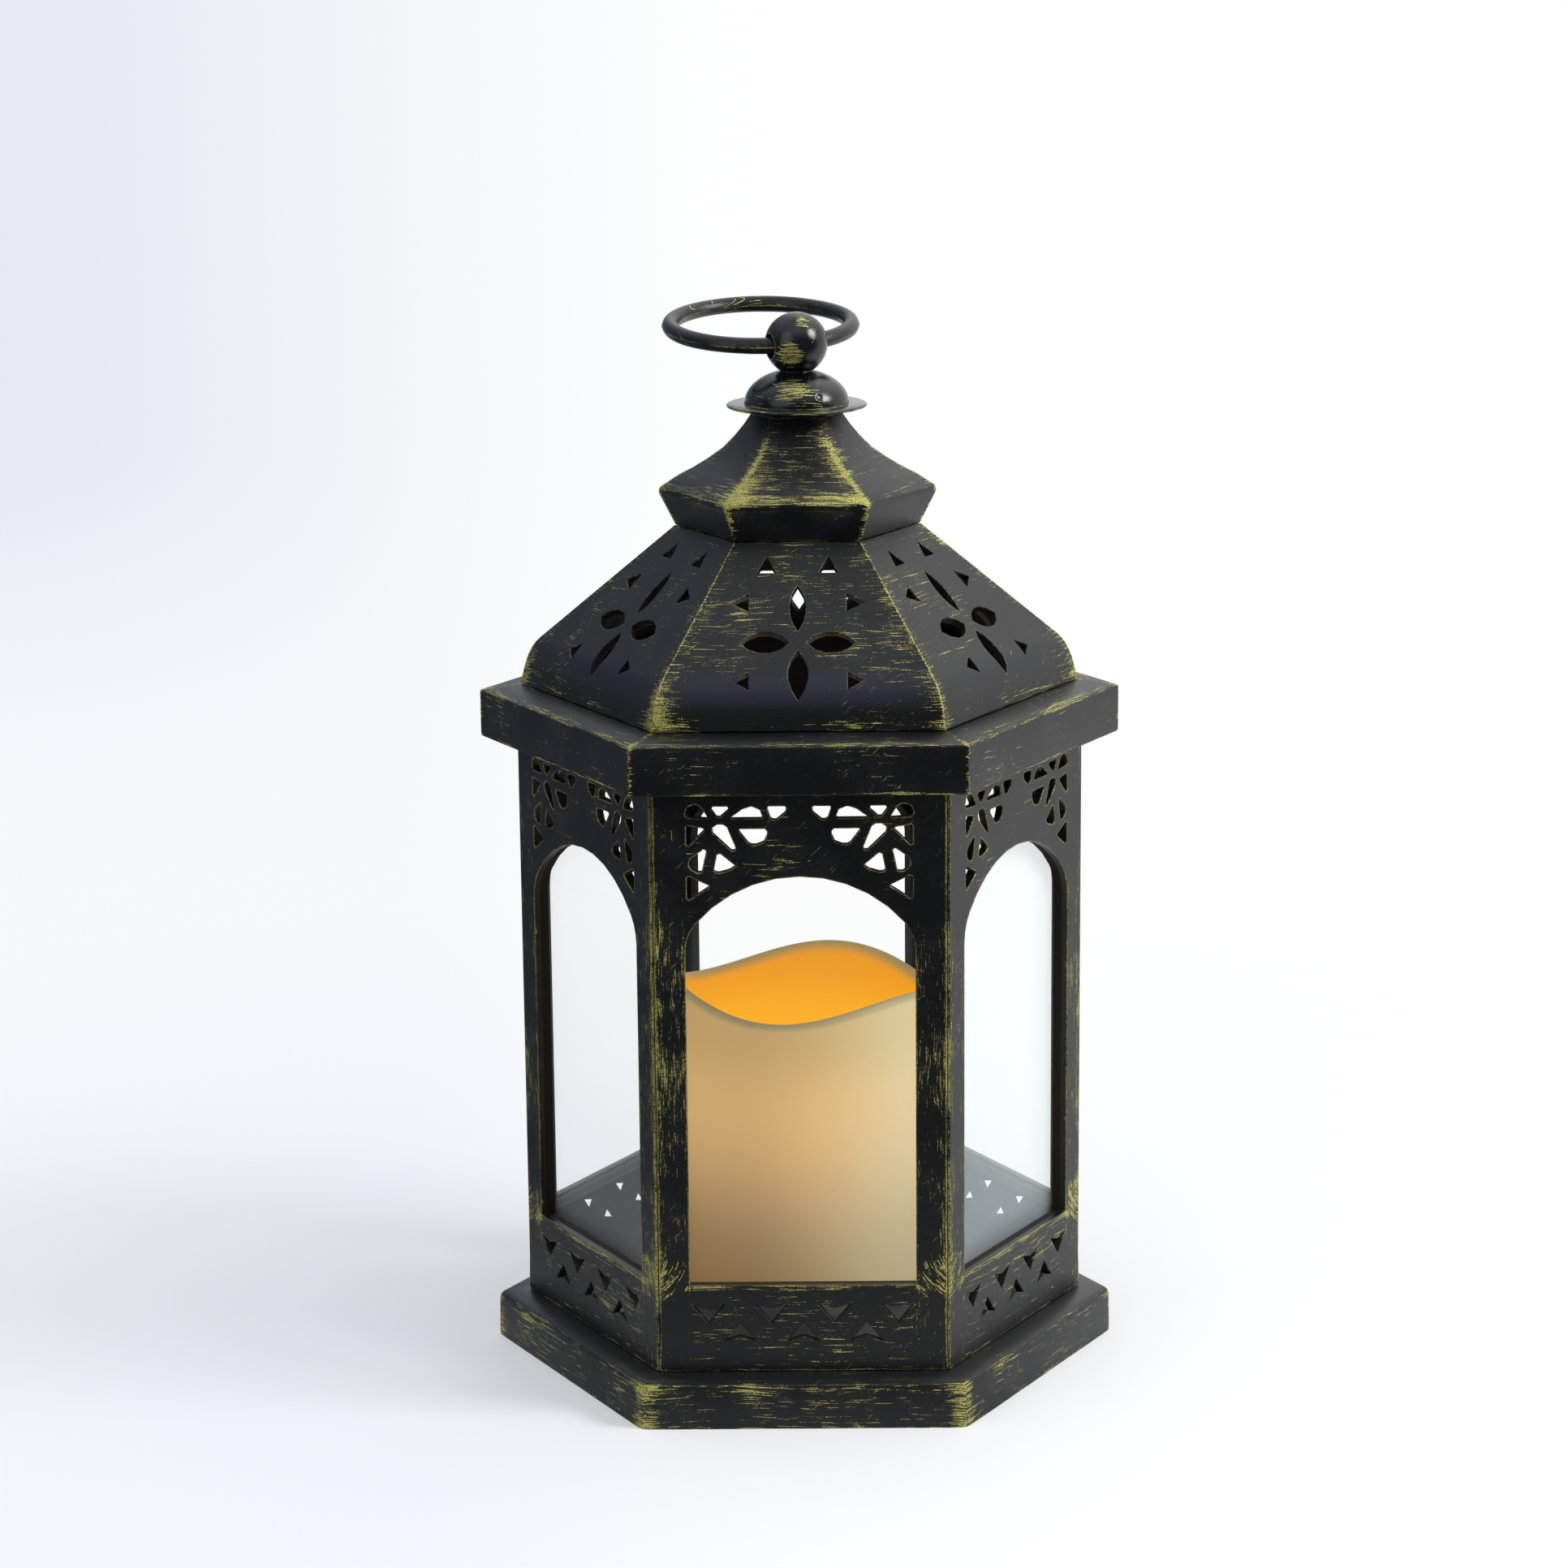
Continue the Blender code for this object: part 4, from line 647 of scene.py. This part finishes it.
def smoothing(name, degrees):
    """Geometry nodes that join split points and keep only the edges sharper than the angle."""
    group = bpy.data.node_groups.new(name, "GeometryNodeTree")
    for way in ("INPUT", "OUTPUT"):
        group.interface.new_socket("Geometry", in_out=way, socket_type="NodeSocketGeometry")
    start = group.nodes.new("NodeGroupInput")
    end = group.nodes.new("NodeGroupOutput")
    weld = group.nodes.new("GeometryNodeMergeByDistance")
    weld.inputs["Distance"].default_value = 0.000004
    faces = group.nodes.new("GeometryNodeSetShadeSmooth")
    edges = group.nodes.new("GeometryNodeSetShadeSmooth")
    edges.domain = "EDGE"
    edges.inputs["Shade Smooth"].default_value = False
    angle = group.nodes.new("GeometryNodeInputMeshEdgeAngle")
    sharp = group.nodes.new("FunctionNodeCompare")
    sharp.operation = "GREATER_THAN"
    sharp.inputs[1].default_value = math.radians(degrees)
    links = group.links
    links.new(start.outputs[0], weld.inputs["Geometry"])
    links.new(weld.outputs[0], faces.inputs["Geometry"])
    links.new(faces.outputs[0], edges.inputs["Geometry"])
    links.new(angle.outputs[0], sharp.inputs[0])
    links.new(sharp.outputs[0], edges.inputs["Selection"])
    links.new(edges.outputs[0], end.inputs[0])
    return group


smooth_thirty = smoothing("smooth_thirty", 30)


def finish_node(name, material):
    node = nodes[name]
    node.data.materials.clear()
    node.data.materials.append(material)
    node.modifiers.new("smooth", "NODES").node_group = smooth_thirty


# Pieces made here, each in place of a carried node of the same shape.

BALL_Z = 284.5
BALL_R = 8.6
BORE_R = 3.4
DOME_FOOT_Z = 268.15
DOME_TOP_Z = 277.6
DOME_R = 14.4
FLANGE_Z = 267.7
FLANGE_R = 19.3
SPIGOT_Z = 265.5
RING_R = 25.1
RING_TUBE_R = 2.3
RING_TURN, RING_TILT, RING_LIFT = 23.8, -2.5, 6.0    # degrees
CANDLE_FOOT_Z = 3.3
CANDLE_WALL = 3.4
CANDLE_BORE_R = 33.5


def lathe(name, profile, steps):
    """Closed surface turned from (radius, height) points in millimetres."""
    mesh = bpy.data.meshes.new(name)
    work = bmesh.new()
    rings = []
    for radius, height in profile:
        if radius < 1e-6:
            rings.append([work.verts.new((0, 0, height * MM))])
            continue
        ring = []
        for index in range(steps):
            angle = 2 * math.pi * index / steps
            x, y = radius * math.cos(angle), radius * math.sin(angle)
            ring.append(work.verts.new((x * MM, y * MM, height * MM)))
        rings.append(ring)
    pairs = list(zip(rings, rings[1:]))
    if len(rings[0]) > 1 and len(rings[-1]) > 1:
        pairs.append((rings[-1], rings[0]))
    for first, second in pairs:
        for index in range(steps):
            after = (index + 1) % steps
            if len(first) == 1:
                work.faces.new((first[0], second[index], second[after]))
            elif len(second) == 1:
                work.faces.new((first[index], second[0], first[after]))
            else:
                work.faces.new((first[index], second[index], second[after], first[after]))
    bmesh.ops.recalc_face_normals(work, faces=work.faces)
    work.to_mesh(mesh)
    work.free()
    return mesh


def arc(centre, radius, start, end, pieces, squash=1.0):
    """Points from start to end in degrees, both included."""
    points = []
    for index in range(pieces + 1):
        angle = math.radians(start + (end - start) * index / pieces)
        across, up = radius * math.cos(angle), radius * squash * math.sin(angle)
        points.append((centre[0] + across, centre[1] + up))
    return points


def add_piece(name, mesh, node, body, material, sharp):
    """Puts a mesh in the scene in place of a carried node."""
    piece = bpy.data.objects.new(name, mesh)
    bpy.context.scene.collection.objects.link(piece)
    mesh.materials.clear()
    mesh.materials.append(material)
    mesh.shade_smooth()
    mesh.set_sharp_from_angle(angle=math.radians(sharp))
    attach(piece, body)
    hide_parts(node)


def cut(mesh, tool):
    """Mesh with the tool mesh taken away."""
    item = bpy.data.objects.new("scratch", mesh)
    other = bpy.data.objects.new("scratch_tool", tool)
    for scratch in (item, other):
        bpy.context.scene.collection.objects.link(scratch)
    step = item.modifiers.new("cut", "BOOLEAN")
    step.operation = "DIFFERENCE"
    step.solver = "EXACT"
    step.object = other
    bpy.context.view_layer.update()
    depsgraph = bpy.context.evaluated_depsgraph_get()
    made = bpy.data.meshes.new_from_object(item.evaluated_get(depsgraph))
    made.name = mesh.name
    bpy.data.objects.remove(item)
    bpy.data.objects.remove(other)
    return made


def ring_axes():
    """Along the ball's hole, away from the ball, and square to both."""
    turn = Matrix.Rotation(math.radians(RING_TURN), 3, "Z")
    tilt = Matrix.Rotation(math.radians(RING_TILT), 3, "Y")
    lift = Matrix.Rotation(math.radians(RING_LIFT), 3, "X")
    return (turn @ tilt @ lift).col


def finial_mesh():
    """Disc, dome and ball in one, with the ring's hole through the ball."""
    dome_h = DOME_TOP_Z - DOME_FOOT_Z
    profile = [(0.0, BALL_Z + BALL_R)] + arc((0, BALL_Z), BALL_R, 90, -66, 34)[1:]
    profile += arc((0, DOME_FOOT_Z), DOME_R, 72, 0, 22, dome_h / DOME_R)
    profile += [
        (DOME_R + 0.25, DOME_FOOT_Z - 0.02),
        (FLANGE_R - 0.45, DOME_FOOT_Z - 0.02),
        (FLANGE_R - 0.15, FLANGE_Z + 0.28),
        (FLANGE_R, FLANGE_Z),
        (FLANGE_R - 0.15, FLANGE_Z - 0.28),
        (FLANGE_R - 0.45, FLANGE_Z - 0.45),
        (12.4, FLANGE_Z - 0.45),
        (11.6, SPIGOT_Z),
        (0.0, SPIGOT_Z),
    ]
    body = lathe("finial_turned", profile, 120)
    bore = lathe("bore", [(0, 20), (BORE_R, 20), (BORE_R, -20), (0, -20)], 48)
    bore.transform(ring_axes()[0].to_track_quat("Z", "Y").to_matrix().to_4x4())
    bore.transform(Matrix.Translation((0, 0, BALL_Z * MM)))
    return cut(body, bore)


def ring_mesh():
    """Round ring with the fine ridge that the mould's parting line leaves inside and outside."""
    mesh = bpy.data.meshes.new("ring_turned")
    work = bmesh.new()
    around, across = 180, 40
    ridge_height, ridge_start, ridge_span = 0.16, 0.985, 0.015
    verts = []
    for i in range(around):
        heading = 2 * math.pi * i / around
        row = []
        for j in range(across):
            angle = 2 * math.pi * j / across
            rise = max(0.0, abs(math.cos(angle)) - ridge_start)
            ridge = ridge_height * rise / ridge_span
            wobble = 0.03 * math.sin(5 * heading + 2 * angle)
            tube = RING_TUBE_R - 0.06 + ridge + wobble
            radius = RING_R + tube * math.cos(angle)
            x, y = radius * math.cos(heading), radius * math.sin(heading)
            row.append(work.verts.new((x * MM, y * MM, tube * math.sin(angle) * MM)))
        verts.append(row)
    for i in range(around):
        for j in range(across):
            after, above = (i + 1) % around, (j + 1) % across
            corners = (verts[i][j], verts[after][j], verts[after][above], verts[i][above])
            work.faces.new(corners)
    bmesh.ops.recalc_face_normals(work, faces=work.faces)
    work.to_mesh(mesh)
    work.free()
    along, away, square = ring_axes()
    frame_of_ring = Matrix((along, away, square)).transposed().to_4x4()
    centre = away * (RING_R - BALL_R ** 2 / (4 * RING_R)) + Vector((0, 0, BALL_Z))
    mesh.transform(Matrix.Translation(centre * MM) @ frame_of_ring)
    return mesh


def rim_wave(heading):
    total = 0.0
    for crests, crest, height in RIM_WAVES:
        total += height * math.cos(crests * (heading - math.radians(crest)))
    return total


def candle_mesh():
    """Pillar with a rounded, wavy rim, a well and an open foot."""
    inner_r = CANDLE_R - CANDLE_WALL
    low = WELL_Z + 6.0
    rim = arc((CANDLE_R - 1.5, RIM_Z - 1.5), 1.5, 90, 0, 6)
    profile = [(inner_r + 0.9, RIM_Z - 0.35), (inner_r + 1.5, RIM_Z)] + rim
    profile += [(CANDLE_R, RIM_Z - step) for step in (4, 8, 13, 18.2)]
    profile += [(CANDLE_R, low - step) for step in (15, 30, 45, 60, 75)]
    profile += arc((CANDLE_R - 1.0, CANDLE_FOOT_Z + 1.0), 1.0, 0, -90, 4)
    profile += [
        (CANDLE_BORE_R, CANDLE_FOOT_Z),
        (CANDLE_BORE_R, WELL_Z - 7.0),
        (29.5, WELL_Z - 3.0),
        (3.2, WELL_Z - 3.0),
        (3.2, WELL_Z - 0.8),
        (inner_r - 5.0, WELL_Z),
    ]
    profile += arc((inner_r - 5.0, WELL_Z + 5.0), 5.0, -90, 0, 6)[1:]
    profile += [
        (inner_r, low),
        (inner_r, RIM_Z - 8),
        (inner_r, RIM_Z - 3),
        (inner_r + 0.2, RIM_Z - 1.2),
    ]
    mesh = lathe("candle_turned", profile, 168)
    for vert in mesh.vertices:
        height = vert.co.z / MM
        if height > low:
            share = (height - low) / (RIM_Z - low)
            vert.co.z += rim_wave(math.atan2(vert.co.y, vert.co.x)) * share * MM
    return mesh


wall_paint = WallPaint().material
pane_material = clear_pane()
for side_name in ("front", "front_right", "back_right", "back", "back_left", "front_left"):
    finish_node(f"wall_panel_{side_name}", wall_paint)
    finish_node(f"pane_{side_name}", pane_material)
for shell_paint in (CrownPaint, RoofPaint, CornicePaint, PlinthPaint):
    finish_node(shell_paint.kind, shell_paint().material)
add_piece("finial_knob", finial_mesh(), "finial", "lantern",
          FinialPaint().material, 50)
add_piece("carry_ring", ring_mesh(), "ring_handle", "ring",
          RingPaint().material, 70)
finish_node("base_cover", plain("cover_plastic", (0.012, 0.012, 0.013), 0.5))
add_piece("candle_pillar", candle_mesh(), "candle_shell", "lantern", wax(), 45)
white_plastic = plain("white_plastic", (0.72, 0.71, 0.68), 0.42)
black_plastic = plain("black_plastic", (0.015, 0.015, 0.016), 0.45)
steel = plain("plated_steel", (0.55, 0.55, 0.56), 0.30, 1.0, 1.5, 0.1)
board = plain("board_laminate", (0.03, 0.16, 0.07), 0.4)
jacket = plain("cell_jacket", (0.05, 0.07, 0.16), 0.35)
for piece in ("candle_base", "battery_door"):
    finish_node(piece, white_plastic)
for piece in ("switch_body", "switch_knob"):
    finish_node(piece, black_plastic)
for piece in nodes:
    if any(word in piece for word in ("screw", "spring", "lead", "washer")):
        finish_node(piece, steel)
    elif "board" in piece:
        finish_node(piece, board)
    elif piece.startswith("battery_") and piece != "battery_door":
        finish_node(piece, jacket)
finish_node("led_bulb", glowing_lamp())


# Floor, background, light and camera.

CAMERA_BACK = 1170.0     # from the object's axis back to the camera, in millimetres


def make_floor():
    """White paper in the object's shadow that turns into the plain pale background.

    Its tints follow the photograph's background: painted shade makes it bluer and darker to the
    left, and painted light makes it whiter to the right."""
    mesh = bpy.data.meshes.new("floor")
    mesh.from_pydata([(-30, -30, 0), (30, -30, 0), (30, 30, 0), (-30, 30, 0)], [], [(0, 1, 2, 3)])
    floor = bpy.data.objects.new("floor", mesh)
    bpy.context.scene.collection.objects.link(floor)
    s = Shader("floor_paper")
    x, y, _ = s.place()[1]
    distance = s.hypotenuse(x, y)
    mirrored = Field(s, s.add("ShaderNodeLightPath").outputs["Is Glossy Ray"])
    sweep = x / s.greater(y + CAMERA_BACK, 300.0)    # below nought to the camera's left
    s.set(Roughness=0.9, Specular_IOR_Level=0.1)
    # Painted light and shade: the paper is whiter to the right and bluer and darker to the left.
    paper = s.ramp(sweep, -0.12, 0.10)
    s.set(Base_Color=s.mix(paper, (0.855, 0.868, 0.905), (0.925, 0.925, 0.930)))

    # Painted shade: the background that the camera sees turns bluer and darker to the left.
    behind = s.ramp(y, -1100.0, -500.0)
    shaded_near_left = s.mix(s.ramp(sweep, -0.02, -0.10) * behind, (1.0, 1.0, 1.0), (0.925, 0.935, 0.97))
    shaded_far_left = s.mix(s.ramp(sweep, 0.01, -0.20), (1.0, 1.0, 1.0), (0.80, 0.82, 0.885))
    seen = s.mix(s.ramp(y, 500.0, 1800.0), shaded_near_left, shaded_far_left)
    cool = mirrored * s.ramp(x, 20.0, -120.0)
    right_back = s.ramp(x + y * 0.6, -60.0, 220.0)
    ahead = s.ramp(y, -120.0, -420.0)
    bright = s.greater(0.19 + 0.78 * right_back - 0.9 * ahead, 0.07)
    glow = s.add("ShaderNodeEmission")
    s.link(s.mix(cool, seen, MIRRORED_BLUE), glow.inputs["Color"])
    s.link(1.0 - mirrored * (1.0 - bright), glow.inputs["Strength"])

    fade = s.ramp(distance, 60.0, 520.0, 0.26, 1.0)
    reflected = s.ramp(distance + s.ramp(x, -20.0, -90.0) * 35.0, 115.0, 250.0)
    top = s.blend(s.greater(fade, mirrored * reflected), s.principled.outputs[0], glow.outputs[0])
    from_below = s.add("ShaderNodeNewGeometry").outputs["Backfacing"]
    clear = s.add("ShaderNodeBsdfTransparent").outputs[0]
    s.link(s.blend(from_below, top, clear), s.output.inputs["Surface"])
    mesh.materials.append(s.material)


def make_world():
    """Even light, a white background, and for glossy rays a dim room with soft lights."""
    world = bpy.data.worlds.new("studio")
    bpy.context.scene.world = world
    world.use_nodes = True
    t = Tree(world.node_tree)
    direction = t.add("ShaderNodeTexCoord").outputs["Generated"]
    room = 0.07
    for toward, start, end, strength in (
        ((0.0, 0.0, 1.0), 0.35, 0.85, 0.75),
        ((0.68, 0.68, 0.25), 0.35, 0.80, 0.85),
        ((-0.68, 0.68, 0.25), 0.35, 0.80, 0.18),
    ):
        room = t.ramp(t.dot(direction, toward), start, end, 0.0, strength) + room
    rightward = t.ramp(t.split(direction)[0], -0.5, 0.15)
    even = t.tree.nodes["Background"]
    white = t.add("ShaderNodeBackground")
    dim = t.add("ShaderNodeBackground")
    for node, colour, strength in (
        (even, (0.93, 0.96, 1.0), 0.76),
        (white, (1.0, 1.0, 1.0), 1.0),
        (dim, t.mix(rightward, MIRRORED_BLUE, (0.98, 0.99, 0.97)), room),
    ):
        t.link(colour, node.inputs["Color"])
        t.link(strength, node.inputs["Strength"])
    rays = t.add("ShaderNodeLightPath").outputs
    lit = t.blend(rays["Is Glossy Ray"], even.outputs[0], dim.outputs[0])
    seen = t.greater(rays["Is Camera Ray"], rays["Is Transmission Ray"])
    whole = t.blend(seen, lit, white.outputs[0])
    t.link(whole, t.tree.nodes["World Output"].inputs["Surface"])


def add_light(name, place, target, size, power):
    light = bpy.data.lights.new(name, "AREA")
    light.shape = "DISK"
    light.size = size
    light.energy = power
    item = bpy.data.objects.new(name, light)
    item.location = place
    item.rotation_euler = (Vector(target) - Vector(place)).to_track_quat("-Z", "Y").to_euler()
    bpy.context.scene.collection.objects.link(item)


def make_camera():
    """The photograph's camera, solved from the object's edges."""
    data = bpy.data.cameras.new("camera")
    data.lens = 98.8
    data.sensor_width = 36.0
    data.clip_start = 0.05
    data.clip_end = 60.0
    camera = bpy.data.objects.new("camera", data)
    bpy.context.scene.collection.objects.link(camera)
    heading = Matrix.Rotation(math.radians(0.4305), 4, "Z")
    tilt = Matrix.Rotation(math.radians(77.0), 4, "X")
    roll = Matrix.Rotation(math.radians(-0.538), 4, "Z")
    stand = heading @ Vector((-0.00443, -CAMERA_BACK * MM, 0.43135))
    camera.matrix_world = Matrix.Translation(stand) @ heading @ tilt @ roll
    bpy.context.scene.camera = camera


make_floor()
make_world()
add_light("key", (1.15, -0.35, 1.05), (0, 0, 0.1), 0.62, 14.0)
add_light("fill", (-0.9, -1.1, 0.9), (0, 0, 0.12), 1.2, 3.0)
make_camera()
scene = bpy.context.scene
scene.view_settings.view_transform = "Standard"
scene.view_settings.look = "None"
